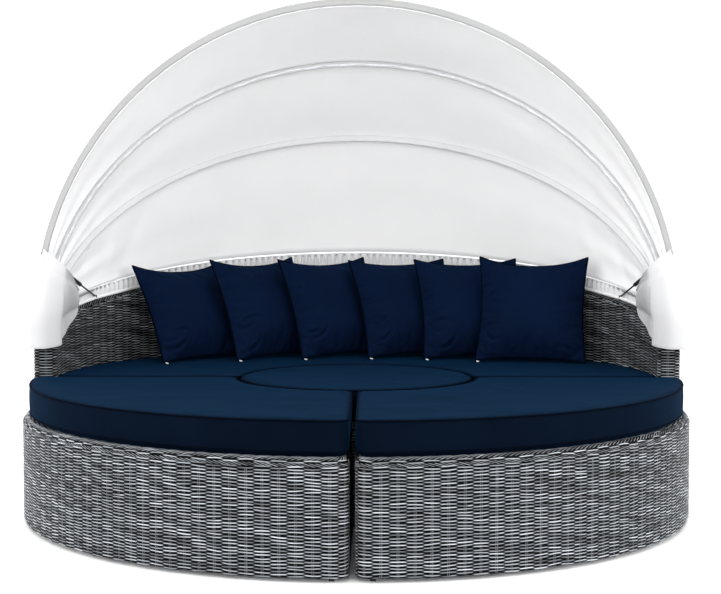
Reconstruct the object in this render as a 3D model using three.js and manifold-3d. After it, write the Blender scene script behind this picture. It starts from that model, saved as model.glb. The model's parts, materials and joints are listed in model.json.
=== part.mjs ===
// A round outdoor daybed: a half-round sofa with a folding canopy, two quarter-round front
// bases and a round centre ottoman, all woven and cushioned. Millimetres, +Z up, front towards -Y.
import * as THREE from "three";
import Module from "manifold-3d";
import { mergeVertices } from "three/addons/utils/BufferGeometryUtils.js";

const wasm = await Module();
wasm.setup();

// Plan of the woven bases
const wallRadius = 1145; // outside of the round woven wall and of the front bases
const wallThickness = 77;
const drumRadius = 404; // woven drum of the centre ottoman
const drumGap = 12; // between the drum and the bases round it
const moduleGap = 18; // between the two front bases
const seatGap = 10; // between the sofa and the front bases
const baseCorner = 45; // plan radius of the bases' upright corners
const armCorner = 18; // plan radius at the ends of the arms

// Heights
const armHeight = 649; // top of the wall at the arms' front ends
const backHeight = 815; // top of the wall at the middle of the back
const rimHeight = 357; // woven rim of every base
const hemHeight = 13; // floor to the lowest strand
const cushionThickness = 96; // between the top and bottom seams
const seamDrop = 8; // from the rim up to the bottom seam
const crownHeight = 7; // of a seat cushion's top over its seam

// Woven skins, decks and welded frames
const skinThickness = 6;
const rimRound = 22;
const armRound = 12;
const rimFlange = 40;
const deckThickness = 22;
const railWidth = 40;
const railHeight = 25;
const postWidth = 25;
const weldOverlap = 1; // how far welded pieces run into each other
const fit = 0.3; // gap between pieces that touch
const roundFit = 2.6; // the same where both faces are round in plan
const frameFit = 2.8; // between a frame's rings and the skin round them

// Feet
const footRadius = 9.5;
const footHeadRadius = 6.5;
const footHeadHeight = 4;
const footInset = 36; // from the woven face to the foot's centre

// Seat cushions and pillows
const cushionInset = 23; // from the front bases' round face to the cushion's seam
const cushionSideInset = 2;
const cushionCorner = 40;
const cushionWallGap = 7;
const cushionRingGap = 8; // between the round cushion and those beside it
const seamRound = 6; // how far the bottom panel rounds in below its seam
const sidePull = 3; // how far a side is drawn in between its seams
const crownRun = 28; // from the top seam in to where the crown is full
const pillowSide = 425;
const pillowThickness = 142;
const pillowPull = 16; // how far an edge is drawn in between two corners
const pillowSeam = 4;
const pillowFullness = 2.6; // power: the higher, the flatter the middle

// Canopy
const pivotSetback = 39.5; // along the arm, from its front end
const pivotHeight = 31; // over the arm's top
const bowTube = 7; // radius
const rearBowInset = 7; // from the wall's inner face out to the rear bow's end
const bowPitch = 15; // across the arm, from one bow's end to the next
const plateRoom = 16; // more between the second bow and the front bow, for the strut's plate
const frontBowTilt = 10; // degrees back from upright, with the canopy open
const secondBowTilt = 33;
const thirdBowTilt = 53.7;
const rearBowRise = 0.95; // degrees between the rear bow's plane and the wall's top
const lugThickness = 5;
const lugRadius = 11;
const lugHeight = 30;
const tubeStart = 18; // height over the pivot at which the round tube starts
const boltRadius = 4;
const boltHeadRadius = 7;
const boltHeadHeight = 5;
const bracketThickness = 3;
const bracketLength = 60;
const cheekWidth = 26;
const cheekClear = 3.5; // from a bow's lug to the cheek beside it
const rearPostRadius = 4;
const clothThickness = 3;
const clothSag = 12; // of a panel between its bows
const clothFit = 2.8; // between a bow's tube and the cloth over it
const hemReach = 1.2; // degrees that the front hem stands ahead of the front bow
const seamTilt = 0.03; // degrees from a bow's middle to each cloth that meets on it
const rearHemTilt = 0.6; // degrees from the rear bow's middle up to the rear panel's hem
const clothStart = 3.6; // degrees round a bow from its pivot to the cloth's end
const skirtStart = 12; // the same for the gathered skirt
const skirtGathers = 40;
const gatherDepth = 3;

// Gas struts
const plateThickness = 3;
const plateWidth = 18;
const plateInset = 20.6; // from the front bow's tube line in to the plate
const strutRise = 155; // from the pivot up the front bow to the strut's ball
const strutInset = 84; // from the front bow's pivot end in to the strut's ball
const eyeTurn = 23.16; // degrees round the wall, from the arm's end to the lower ball
const eyeInset = 64.4; // from the wall's outer face to the lower ball
const eyeHeight = 11.4; // of the lower ball over the wall's top
const ballRadius = 6.5;
const studRadius = 4.5;
const strutEndGap = 1.2; // between the strut's upper end and its stud
const rodRadius = 3;
const rodExposed = 181;
const rodHidden = 18;
const cylinderRadius = 7.5;
const cylinderBore = 3.3;
const boreDepth = 165;
const eyePlateLength = 30;
const eyePlateWidth = 16;
const eyePlateThickness = 2.5;

// Cloth flaps over the arms' ends
const flapHem = 83; // below the arm's top
const flapRise = 256; // above the arm's top
const flapGap = 10; // between the wall's faces and the flap over the pivots
const flapSeat = 0.5; // between the wall's faces and the flap's back edges
const flapLean = 42; // how far the top of the flap's front leans back
const flapSwell = 36; // how far the inner leg swells in round the strut
const flapFold = 7;

// Counts and steps
const arcStep = 7.5; // degrees
const frameStep = 12;
const drumStep = 10;
const cornerSteps = 3;
const roundSteps = 2;
const bowSteps = 26;
const tubeSides = 6;
const panelRows = 3;
const barSides = 12;
const footSides = 8;
const pillowCells = 6;
const overrun = 10; // of a cut past the face it goes through

const degree = Math.PI / 180;
const armSlope = (backHeight - armHeight) / wallRadius;
const armAngle = Math.atan(armSlope);
const wallInside = wallRadius - wallThickness;
const rearBowRadius = wallInside + rearBowInset;
const thirdBowRadius = rearBowRadius + bowPitch;
const secondBowRadius = thirdBowRadius + bowPitch;
const frontBowRadius = secondBowRadius + bowPitch + plateRoom;
const rearBowTilt = 90 - armAngle / degree - rearBowRise;
const recessRadius = drumRadius + drumGap;
const deckBottom = rimHeight - deckThickness;
const cushionBottom = rimHeight + fit;
const lowerSeam = rimHeight + seamDrop;
const upperSeam = lowerSeam + cushionThickness;
const seatTop = upperSeam + crownHeight;
const wallTop = (y) => armHeight + armSlope * y;

const weaveFinish = { color: 0x9a9da0, roughness: 0.55, metalness: 0 };
const darkWeaveFinish = { color: 0x5b5d60, roughness: 0.55, metalness: 0 };
const frameFinish = { color: 0x8f9296, roughness: 0.4, metalness: 0.9 };
const deckFinish = { color: 0x2b2c2e, roughness: 0.7, metalness: 0 };
const cushionFinish = { color: 0x14294a, roughness: 0.85, metalness: 0 };
const clothFinish = { color: 0xf1f1f2, roughness: 0.8, metalness: 0 };
const blackFinish = { color: 0x151515, roughness: 0.45, metalness: 0.2 };
const steelFinish = { color: 0xb9bcc0, roughness: 0.3, metalness: 1 };

// Solids and meshes

function manifoldOf(positions, triangles) {
  let volume = 0;
  for (let i = 0; i < triangles.length; i += 3) {
    const [a, b, c] = [0, 1, 2].map((k) => new THREE.Vector3().fromArray(positions, triangles[i + k] * 3));
    volume += a.dot(b.cross(c));
  }
  const facing = volume < 0 ? triangles.map((_, i, all) => all[i - (i % 3) + 2 - (i % 3)]) : triangles;
  return new wasm.Manifold(
    new wasm.Mesh({
      numProp: 3,
      vertProperties: new Float32Array(positions),
      triVerts: new Uint32Array(facing),
    }),
  );
}

function solidOf(geometry, matrix = new THREE.Matrix4()) {
  const bare = geometry.clone().applyMatrix4(matrix);
  for (const name of Object.keys(bare.attributes)) if (name !== "position") bare.deleteAttribute(name);
  const merged = mergeVertices(bare, 1e-3);
  const index = [...merged.index.array];
  const kept = [];
  for (let i = 0; i < index.length; i += 3) {
    const [a, b, c] = index.slice(i, i + 3);
    if (a !== b && b !== c && c !== a) kept.push(a, b, c);
  }
  return manifoldOf([...merged.attributes.position.array], kept);
}

function geometryOf(solid) {
  const data = solid.getMesh();
  const geometry = new THREE.BufferGeometry();
  const positions = new Float32Array(data.numVert * 3);
  for (let i = 0; i < data.numVert; i++) {
    positions.set(data.vertProperties.subarray(i * data.numProp, i * data.numProp + 3), i * 3);
  }
  geometry.setAttribute("position", new THREE.BufferAttribute(positions, 3));
  geometry.setIndex(new THREE.BufferAttribute(data.triVerts, 1));
  geometry.computeVertexNormals();
  return geometry;
}

function addMesh(group, name, solid, finish) {
  const mesh = new THREE.Mesh(geometryOf(solid), new THREE.MeshStandardMaterial(finish));
  mesh.name = name;
  group.add(mesh);
  return mesh;
}

const shift = (x, y, z) => new THREE.Matrix4().makeTranslation(x, y, z);

function box(x, y, z, matrix) {
  return solidOf(new THREE.BoxGeometry(x, y, z), matrix);
}

// A round bar between two points.
function bar(from, to, radius, sides = barSides) {
  const along = new THREE.Vector3().subVectors(to, from);
  const turn = new THREE.Quaternion().setFromUnitVectors(
    new THREE.Vector3(0, 1, 0),
    along.clone().normalize(),
  );
  const middle = new THREE.Vector3().addVectors(from, to).multiplyScalar(0.5);
  const place = new THREE.Matrix4().compose(middle, turn, new THREE.Vector3(1, 1, 1));
  return solidOf(new THREE.CylinderGeometry(radius, radius, along.length(), sides), place);
}

function ball(centre, radius) {
  return solidOf(new THREE.SphereGeometry(radius, footSides, tubeSides), shift(centre.x, centre.y, centre.z));
}

// Outlines in plan: points that each carry the direction facing out of the piece

function arcPoints(centre, radius, from, to, steps, facing = 1) {
  return Array.from({ length: steps + 1 }, (_, i) => {
    const a = from + ((to - from) * i) / steps;
    const [c, s] = [Math.cos(a), Math.sin(a)];
    return { x: centre[0] + radius * c, y: centre[1] + radius * s, nx: facing * c, ny: facing * s };
  });
}

// A ring sector round the middle with straight sides set in by `inset` and rounded corners.
function sectorOutline({ outer, inner, inset, corner, innerCorner = corner, from, to, step = arcStep }) {
  const [a, b] = [from * degree, to * degree];
  const outerReach = outer - corner;
  const outerTurn = Math.asin((inset + corner) / outerReach);
  const innerReach = inner + innerCorner;
  const innerTurn = Math.asin((inset + innerCorner) / innerReach);
  const at = (reach, angle) => [reach * Math.cos(angle), reach * Math.sin(angle)];
  const stepsOver = (turn) => Math.max(1, Math.round(turn / degree / step));
  const quarter = Math.PI / 2;
  return [
    ...arcPoints(at(outerReach, a + outerTurn), corner, a - quarter, a + outerTurn, cornerSteps),
    ...arcPoints([0, 0], outer, a + outerTurn, b - outerTurn, stepsOver(b - a)).slice(1, -1),
    ...arcPoints(at(outerReach, b - outerTurn), corner, b - outerTurn, b + quarter, cornerSteps),
    ...arcPoints(
      at(innerReach, b - innerTurn),
      innerCorner,
      b + quarter,
      b - innerTurn + Math.PI,
      cornerSteps,
    ),
    ...arcPoints([0, 0], inner, b - innerTurn, a + innerTurn, stepsOver(b - a), -1).slice(1, -1),
    ...arcPoints(
      at(innerReach, a + innerTurn),
      innerCorner,
      a + innerTurn - Math.PI,
      a - quarter,
      cornerSteps,
    ),
  ];
}

function roundOutline(radius, step = arcStep) {
  return arcPoints([0, 0], radius, 0, 2 * Math.PI, Math.round(360 / step)).slice(0, -1);
}

// A closed solid through levels of one outline, each set in by d at height z, capped at both ends.
function stack(outline, levels) {
  const n = outline.length;
  const positions = [];
  const triangles = [];
  for (const { d, z } of levels) {
    for (const p of outline) {
      const [x, y] = [p.x - d * p.nx, p.y - d * p.ny];
      positions.push(x, y, typeof z === "function" ? z(y) : z);
    }
  }
  for (let k = 0; k + 1 < levels.length; k++) {
    for (let i = 0; i < n; i++) {
      const [a, b] = [k * n + i, k * n + ((i + 1) % n)];
      triangles.push(a, b, b + n, a, b + n, a + n);
    }
  }
  const capOf = (level) =>
    THREE.ShapeUtils.triangulateShape(
      outline.map((p) => new THREE.Vector2(p.x - level.d * p.nx, p.y - level.d * p.ny)),
      [],
    );
  for (const [a, b, c] of capOf(levels[0])) triangles.push(c, b, a);
  const last = (levels.length - 1) * n;
  for (const [a, b, c] of capOf(levels[levels.length - 1])) triangles.push(a + last, b + last, c + last);
  return manifoldOf(positions, triangles);
}

// A thin closed solid between two grids of points, `inside` and `outside`, rows by columns.
function sheet(rows, columns, inside, outside) {
  const positions = [];
  const triangles = [];
  const size = rows * columns;
  for (const side of [inside, outside]) {
    for (let i = 0; i < rows; i++) {
      for (let j = 0; j < columns; j++) positions.push(...side(i, j));
    }
  }
  const at = (i, j) => i * columns + j;
  for (let i = 0; i + 1 < rows; i++) {
    for (let j = 0; j + 1 < columns; j++) {
      const [a, b, c, d] = [at(i, j), at(i + 1, j), at(i + 1, j + 1), at(i, j + 1)];
      triangles.push(a, b, c, a, c, d);
      triangles.push(size + a, size + c, size + b, size + a, size + d, size + c);
    }
  }
  const edge = [];
  for (let i = 0; i + 1 < rows; i++) edge.push(at(i, 0));
  for (let j = 0; j + 1 < columns; j++) edge.push(at(rows - 1, j));
  for (let i = rows - 1; i > 0; i--) edge.push(at(i, columns - 1));
  for (let j = columns - 1; j > 0; j--) edge.push(at(0, j));
  edge.forEach((a, i) => {
    const b = edge[(i + 1) % edge.length];
    triangles.push(b, a, size + a, b, size + a, size + b);
  });
  return manifoldOf(positions, triangles);
}

// Woven bases

function roundedLevels(bottom, top, round, inset) {
  const inner = round - inset;
  return [
    { d: inset, z: bottom },
    ...Array.from({ length: roundSteps + 1 }, (_, i) => {
      const a = (i / roundSteps) * (Math.PI / 2);
      const drop = round - inner * Math.sin(a);
      return {
        d: round - inner * Math.cos(a),
        z: typeof top === "function" ? (y) => top(y) - drop : top - drop,
      };
    }),
  ];
}

function wovenBase(outline) {
  const outside = stack(outline, roundedLevels(hemHeight, rimHeight, rimRound, 0));
  const hollow = stack(outline, roundedLevels(0, rimHeight, rimRound, skinThickness));
  const opening = stack(outline, [
    { d: rimFlange, z: deckBottom },
    { d: rimFlange, z: rimHeight + overrun },
  ]);
  return outside.subtract(hollow).subtract(opening);
}

const sofaPlan = {
  outer: wallRadius,
  inner: recessRadius,
  inset: 0,
  corner: baseCorner,
  from: 0,
  to: 180,
};
const frontPlan = { ...sofaPlan, from: 180, to: 270 };

// The plan of what lies inside a base's woven face, set in by `inset`.
function insidePlan(plan, inset, corner, step = arcStep) {
  return sectorOutline({
    ...plan,
    outer: plan.outer - inset,
    inner: plan.inner + inset,
    inset: plan.inset + inset,
    corner,
    step,
  });
}

function deckOf(plan, outer) {
  const inset = rimFlange + fit;
  const outline = sectorOutline({
    ...plan,
    outer,
    inner: plan.inner + inset,
    inset: plan.inset + inset,
    corner: baseCorner - rimFlange,
  });
  return stack(outline, [
    { d: 0, z: deckBottom },
    { d: 0, z: rimHeight },
  ]);
}

// Two welded rings, one above the other, with posts between them and joists across the upper one.
function frameOf(plan, postPlaces, joistPlaces) {
  const skin = skinThickness + frameFit;
  const outside = insidePlan(plan, skin, baseCorner - skin, frameStep);
  const inside = insidePlan(plan, skin + railWidth, baseCorner - railWidth, frameStep);
  const ring = (low, high) =>
    stack(outside, [
      { d: 0, z: low },
      { d: 0, z: high },
    ]).subtract(
      stack(inside, [
        { d: 0, z: low - overrun },
        { d: 0, z: high + overrun },
      ]),
    );
  const ringTop = deckBottom - fit;
  let frame = ring(hemHeight + fit, hemHeight + railHeight).add(ring(ringTop - railHeight, ringTop));
  for (const [x, y] of postPlaces) {
    const [low, high] = [hemHeight + railHeight - weldOverlap, ringTop - railHeight + weldOverlap];
    frame = frame.add(box(postWidth, postWidth, high - low, shift(x, y, (low + high) / 2)));
  }
  const field = stack(insidePlan(plan, skin + railWidth / 2, baseCorner - railWidth / 2, frameStep), [
    { d: 0, z: ringTop - railHeight },
    { d: 0, z: ringTop },
  ]);
  for (const x of joistPlaces) {
    frame = frame.add(box(postWidth, 4 * plan.outer, 4 * railHeight, shift(x, 0, ringTop)).intersect(field));
  }
  return frame;
}

const polar = (radius, angle) => [radius * Math.cos(angle * degree), radius * Math.sin(angle * degree)];

// A screwed-in glide, turned about its upright axis.
function foot() {
  const head = hemHeight - footHeadHeight;
  const profile = [
    [0, 0],
    [footRadius, 0],
    [footHeadRadius, head],
    [footHeadRadius, hemHeight],
    [0, hemHeight],
  ].map(([r, z]) => new THREE.Vector2(r, z));
  const upright = new THREE.Matrix4().makeRotationX(Math.PI / 2);
  return solidOf(new THREE.LatheGeometry(profile, footSides), upright);
}

function addFeet(group, name, places) {
  places.forEach(([x, y], i) => {
    addMesh(group, `${name}_foot_${i + 1}`, foot(), blackFinish).position.set(x, y, 0);
  });
}

// Seat cushions: seams top and bottom, sides drawn in between them, a low crown.

function seatCushion(outline) {
  const middle = (lowerSeam + upperSeam) / 2;
  return stack(outline, [
    { d: seamRound, z: cushionBottom },
    { d: 0, z: lowerSeam },
    { d: sidePull, z: middle },
    { d: 0, z: upperSeam },
    { d: crownRun / 4, z: upperSeam + crownHeight / 2 },
    { d: crownRun, z: seatTop },
  ]);
}

// Sofa

const daybed = new THREE.Group();
const sofa = new THREE.Group();
daybed.add(sofa);

const wallPlan = {
  outer: wallRadius,
  inner: wallInside,
  inset: 0,
  corner: armCorner,
  from: 0,
  to: 180,
};

function backWall() {
  const outline = sectorOutline(wallPlan);
  const outside = stack(outline, roundedLevels(hemHeight, wallTop, armRound, 0));
  const cavity = stack(outline, roundedLevels(0, wallTop, armRound, skinThickness));
  const seatSide = sectorOutline({
    ...sofaPlan,
    outer: wallRadius - skinThickness,
    inset: skinThickness,
    corner: armCorner - skinThickness,
  });
  const underDeck = stack(seatSide, [
    { d: 0, z: 0 },
    { d: 0, z: deckBottom + fit },
  ]);
  return outside.subtract(cavity).subtract(underDeck);
}

addMesh(sofa, "wall_weave", backWall(), darkWeaveFinish);

const seatPlan = { ...sofaPlan, outer: wallInside - roundFit };
const seatSpan = stack(sectorOutline({ ...seatPlan, inset: 0, corner: fit }), [
  { d: 0, z: 0 },
  { d: 0, z: rimHeight + overrun },
]);
addMesh(sofa, "seat_front_weave", wovenBase(sectorOutline(sofaPlan)).intersect(seatSpan), weaveFinish);
addMesh(sofa, "seat_deck", deckOf(sofaPlan, wallInside - roundFit), deckFinish);

// The sofa's frame also carries the wall: posts in its hollow and a top rail along its slope.
const railMiddle = skinThickness + frameFit + railWidth / 2;
const sofaPostTurns = [8, 36, 63, 90, 117, 144, 172];
const sofaJoistShares = [-0.62, -0.24, 0.24, 0.62];

function sofaFrame() {
  const railTop = (y) => wallTop(y) - armRound;
  const inset = skinThickness + frameFit;
  const rail = stack(
    sectorOutline({
      ...wallPlan,
      outer: wallRadius - inset,
      inner: wallRadius - inset - railWidth,
      inset: inset,
      corner: armCorner - inset,
      step: frameStep,
    }),
    [
      { d: 0, z: (y) => railTop(y) - railHeight },
      { d: 0, z: railTop },
    ],
  );
  const recessPosts = sofaPostTurns
    .filter((_, i) => i % 2)
    .map((turn) => polar(recessRadius + railMiddle, turn));
  let frame = frameOf(
    sofaPlan,
    recessPosts,
    sofaJoistShares.map((share) => share * wallRadius),
  ).add(rail);
  for (const turn of sofaPostTurns) {
    const [x, y] = polar(wallRadius - railMiddle, turn);
    const [low, high] = [hemHeight + railHeight - weldOverlap, railTop(y) - railHeight + postWidth / 4];
    const place = shift(x, y, (low + high) / 2).multiply(
      new THREE.Matrix4().makeRotationZ(turn * degree),
    );
    frame = frame.add(box(railWidth - 2 * weldOverlap, postWidth, high - low, place));
  }
  return frame;
}

addMesh(sofa, "sofa_frame", sofaFrame(), frameFinish);

const cushionRecess = drumRadius + cushionRingGap;
const sofaCushionPlan = {
  outer: wallInside - cushionWallGap,
  inner: cushionRecess,
  inset: cushionSideInset,
  corner: cushionCorner,
  innerCorner: crownRun + cushionSideInset,
  from: 0,
  to: 180,
};
addMesh(sofa, "seat_cushion", seatCushion(sectorOutline(sofaCushionPlan)), cushionFinish);

const footLine = wallRadius - footInset;
addFeet(sofa, "sofa", [
  polar(footLine, 6),
  polar(footLine, 60),
  polar(footLine, 120),
  polar(footLine, 174),
]);

// Pillows: where each one's lower left corner stands, as shares of a pillow's side along the
// wall from the middle of the back and in from the wall, its yaw off the wall's line, and its lean.
const pillowPlaces = [
  { arcShare: 2.686, setbackShare: 0.558, yaw: -18.7, lean: 31 },
  { arcShare: 1.906, setbackShare: 0.946, yaw: -0.5, lean: 25.3 },
  { arcShare: 0.898, setbackShare: 1.141, yaw: 15, lean: 25.7 },
  { arcShare: -0.185, setbackShare: 1.157, yaw: 27.6, lean: 27.5 },
  { arcShare: -1.118, setbackShare: 1.098, yaw: 37.1, lean: 25.8 },
  { arcShare: -1.881, setbackShare: 0.957, yaw: 30.9, lean: 20.5 },
];

// A knife-edged pillow, standing on its lower edge with its lower left corner at the origin.
function pillow() {
  const cells = pillowCells + 1;
  const half = pillowSide / 2;
  const at = (side) => (i, j) => {
    const [u, v] = [(2 * i) / pillowCells - 1, (2 * j) / pillowCells - 1];
    const pulled = (a, b) => a * (half - pillowPull * (1 - b * b) * Math.abs(a));
    const swell = Math.sqrt((1 - Math.abs(u) ** pillowFullness) * (1 - Math.abs(v) ** pillowFullness));
    const depth = pillowSeam / 2 + (pillowThickness / 2 - pillowSeam / 2) * swell;
    return [pulled(u, v) + half, side * depth, pulled(v, u) + half];
  };
  return sheet(cells, cells, at(-1), at(1));
}

pillowPlaces.forEach(({ arcShare, setbackShare, yaw, lean }, i) => {
  const turn = (arcShare * pillowSide) / wallInside;
  const [x, y] = polar(wallInside - setbackShare * pillowSide, 90 + turn / degree);
  const mesh = addMesh(sofa, `pillow_${i + 1}`, pillow(), cushionFinish);
  const rise = (pillowSeam / 2) * Math.sin(lean * degree);
  mesh.position.set(x, y, seatTop + fit + rise);
  mesh.rotation.order = "ZXY";
  mesh.rotation.set(-lean * degree, 0, turn + yaw * degree);
});

// Front bases

for (const [side, facing] of [["left", 1], ["right", -1]]) {
  const base = new THREE.Group();
  base.position.set((-facing * moduleGap) / 2, -seatGap, 0);
  daybed.add(base);
  const quarter = frontPlan.to - frontPlan.from;
  const plan = facing > 0 ? frontPlan : { ...frontPlan, from: frontPlan.to, to: frontPlan.to + quarter };
  const middle = (plan.from + plan.to) / 2;
  const spread = (plan.to - plan.from) / 2;
  const cornerTurn = (radius) => Math.asin((railMiddle + postWidth / 2) / radius) / degree;
  const places = [
    [wallRadius - railMiddle, spread - cornerTurn(wallRadius - railMiddle)],
    [wallRadius - railMiddle, 0],
    [wallRadius - railMiddle, cornerTurn(wallRadius - railMiddle) - spread],
    [recessRadius + railMiddle, spread - cornerTurn(recessRadius + railMiddle)],
    [recessRadius + railMiddle, cornerTurn(recessRadius + railMiddle) - spread],
  ].map(([radius, turn]) => polar(radius, middle + turn));
  const joists = [0.36, 0.66].map((share) => -facing * share * wallRadius);
  addMesh(base, `front_${side}_weave`, wovenBase(sectorOutline(plan)), weaveFinish);
  addMesh(base, `front_${side}_frame`, frameOf(plan, places, joists), frameFinish);
  addMesh(base, `front_${side}_deck`, deckOf(plan, wallRadius - rimFlange - fit), deckFinish);
  const cushionPlan = {
    ...plan,
    outer: wallRadius - cushionInset,
    inner: cushionRecess,
    inset: cushionSideInset,
    corner: cushionCorner,
    innerCorner: crownRun + cushionSideInset,
  };
  addMesh(base, `front_${side}_cushion`, seatCushion(sectorOutline(cushionPlan)), cushionFinish);
  const footTurn = Math.asin(footInset / footLine) / degree;
  const innerLine = recessRadius + footInset;
  addFeet(base, `front_${side}`, [
    polar(footLine, middle + spread - 1.4 * footTurn),
    polar(footLine, middle),
    polar(footLine, middle - spread + 1.4 * footTurn),
    polar(innerLine, middle),
  ]);
}

// Centre ottoman

const ottoman = new THREE.Group();
daybed.add(ottoman);
addMesh(ottoman, "ottoman_weave", wovenBase(roundOutline(drumRadius, drumStep)), weaveFinish);
addMesh(
  ottoman,
  "ottoman_deck",
  stack(roundOutline(drumRadius - rimFlange - fit, drumStep), [
    { d: 0, z: deckBottom },
    { d: 0, z: rimHeight },
  ]),
  deckFinish,
);
const drumPostTurns = [90, 210, 330];

function drumFrame() {
  const outer = drumRadius - skinThickness - frameFit;
  const ringTop = deckBottom - fit;
  const disc = (radius, low, high) =>
    stack(roundOutline(radius, frameStep), [
      { d: 0, z: low },
      { d: 0, z: high },
    ]);
  const ring = (low, high) =>
    disc(outer, low, high).subtract(disc(outer - railWidth, low - overrun, high + overrun));
  const joist = box(postWidth, 2 * outer - railWidth, railHeight, shift(0, 0, ringTop - railHeight / 2));
  let frame = ring(hemHeight + fit, hemHeight + railHeight)
    .add(ring(ringTop - railHeight, ringTop))
    .add(joist);
  for (const turn of drumPostTurns) {
    const [low, high] = [hemHeight + railHeight - weldOverlap, ringTop - railHeight + weldOverlap];
    const place = shift(...polar(outer - railWidth / 2, turn), (low + high) / 2);
    frame = frame.add(box(postWidth, postWidth, high - low, place));
  }
  return frame;
}

addMesh(ottoman, "ottoman_frame", drumFrame(), frameFinish);
addMesh(ottoman, "ottoman_cushion", seatCushion(roundOutline(drumRadius, drumStep)), cushionFinish);
addFeet(
  ottoman,
  "ottoman",
  drumPostTurns.map((turn) => polar(drumRadius - footInset, turn)),
);

// Canopy: bows that turn on one bolt at each arm, cloth between them

const pivot = new THREE.Vector3(
  0,
  pivotSetback - pivotHeight * Math.sin(armAngle),
  wallTop(pivotSetback) + pivotHeight * Math.cos(armAngle),
);

// The place of a bow's own plane: X across, Z from the pivots to the middle of the bow.
function bowPlace(tilt) {
  return new THREE.Matrix4()
    .makeTranslation(pivot)
    .multiply(new THREE.Matrix4().makeRotationX(-tilt * degree));
}

class BowLine extends THREE.Curve {
  constructor(radius) {
    super();
    this.radius = radius;
    this.start = Math.asin(tubeStart / radius);
  }
  getPoint(t, target = new THREE.Vector3()) {
    const a = this.start + (Math.PI - 2 * this.start) * t;
    return target.set(this.radius * Math.cos(a), 0, this.radius * Math.sin(a));
  }
}

function roundShape(radius, sides) {
  return new THREE.Shape(roundOutline(radius, 360 / sides).map(({ x, y }) => new THREE.Vector2(x, y)));
}

// A bent tube with a pressed flat lug and a bolt hole at each end, in its own plane.
function bowOf(radius) {
  const line = new BowLine(radius);
  const tube = new THREE.ExtrudeGeometry(roundShape(bowTube, tubeSides), {
    steps: bowSteps,
    extrudePath: line,
    bevelEnabled: false,
  });
  let bow = solidOf(tube);
  for (const side of [-1, 1]) {
    const place = (z) => shift(side * radius, 0, z);
    const round = new THREE.Matrix4().makeRotationZ(Math.PI / 2);
    const disc = (r, length) =>
      solidOf(new THREE.CylinderGeometry(r, r, length, barSides), place(0).multiply(round));
    bow = bow
      .add(box(lugThickness, 2 * bowTube, lugHeight, place(lugHeight / 2)))
      .add(disc(lugRadius, lugThickness))
      .subtract(disc(boltRadius + fit, 3 * lugThickness));
  }
  return bow;
}

function inPlace(group, tilt) {
  bowPlace(tilt).decompose(group.position, group.quaternion, group.scale);
  return group;
}

for (const [name, radius, tilt] of [
  ["front_bow", frontBowRadius, frontBowTilt],
  ["second_bow", secondBowRadius, secondBowTilt],
  ["third_bow", thirdBowRadius, thirdBowTilt],
]) {
  const group = inPlace(new THREE.Group(), tilt);
  daybed.add(group);
  addMesh(group, name, bowOf(radius), frameFinish);
}

// The rear bow stands on posts over the wall's top.
const rearTilt = rearBowTilt * degree;

function rearBowPoint(turn, out = 0) {
  const rise = (rearBowRadius + out) * Math.sin(turn);
  return new THREE.Vector3(
    (rearBowRadius + out) * Math.cos(turn),
    pivot.y + rise * Math.sin(rearTilt),
    pivot.z + rise * Math.cos(rearTilt),
  );
}

const rearPostTurns = [42, 90, 138];
let rearBow = solidOf(geometryOf(bowOf(rearBowRadius)), bowPlace(rearBowTilt));
for (const turn of rearPostTurns) {
  const top = rearBowPoint(turn * degree);
  const bottom = top.clone().setZ(wallTop(top.y + rearPostRadius) + fit);
  rearBow = rearBow.add(bar(bottom, top, rearPostRadius));
}
addMesh(sofa, "rear_bow", rearBow, frameFinish);

// Bolts and brackets on the arms

for (const [side, facing] of [["left", -1], ["right", 1]]) {
  const along = (x) => new THREE.Vector3(facing * x, pivot.y, pivot.z);
  const innerCheek = rearBowRadius - lugThickness / 2 - cheekClear;
  const outerCheek = frontBowRadius + lugThickness / 2 + cheekClear;
  const [low, high] = [innerCheek - bracketThickness, outerCheek + bracketThickness];
  const bolt = bar(along(low - boltHeadHeight - fit), along(high + fit), boltRadius)
    .add(bar(along(low - boltHeadHeight - fit), along(low - fit), boltHeadRadius, 6))
    .add(bar(along(high + fit), along(high + fit + boltHeadHeight), boltHeadRadius, 6));
  addMesh(sofa, `pivot_bolt_${side}`, bolt, steelFinish);
  const frame = bowPlace(0).multiply(new THREE.Matrix4().makeRotationX(armAngle));
  const baseZ = fit + bracketThickness / 2 - pivotHeight;
  let bracket = box(
    high - low,
    bracketLength,
    bracketThickness,
    frame.clone().multiply(shift((facing * (low + high)) / 2, 0, baseZ)),
  );
  for (const x of [innerCheek - bracketThickness / 2, outerCheek + bracketThickness / 2]) {
    const cheekTop = boltRadius + boltHeadRadius;
    const height = pivotHeight + cheekTop - fit;
    const cheekPlace = frame.clone().multiply(shift(facing * x, 0, cheekTop - height / 2));
    bracket = bracket.add(box(bracketThickness, cheekWidth, height, cheekPlace));
  }
  bracket = bracket.subtract(bar(along(low - overrun), along(high + overrun), boltRadius + fit));
  addMesh(sofa, `pivot_bracket_${side}`, bracket, blackFinish);
}

// Cloth panels, each between the outer sides of two bows.
const clothFrom = clothStart * degree;

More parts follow.
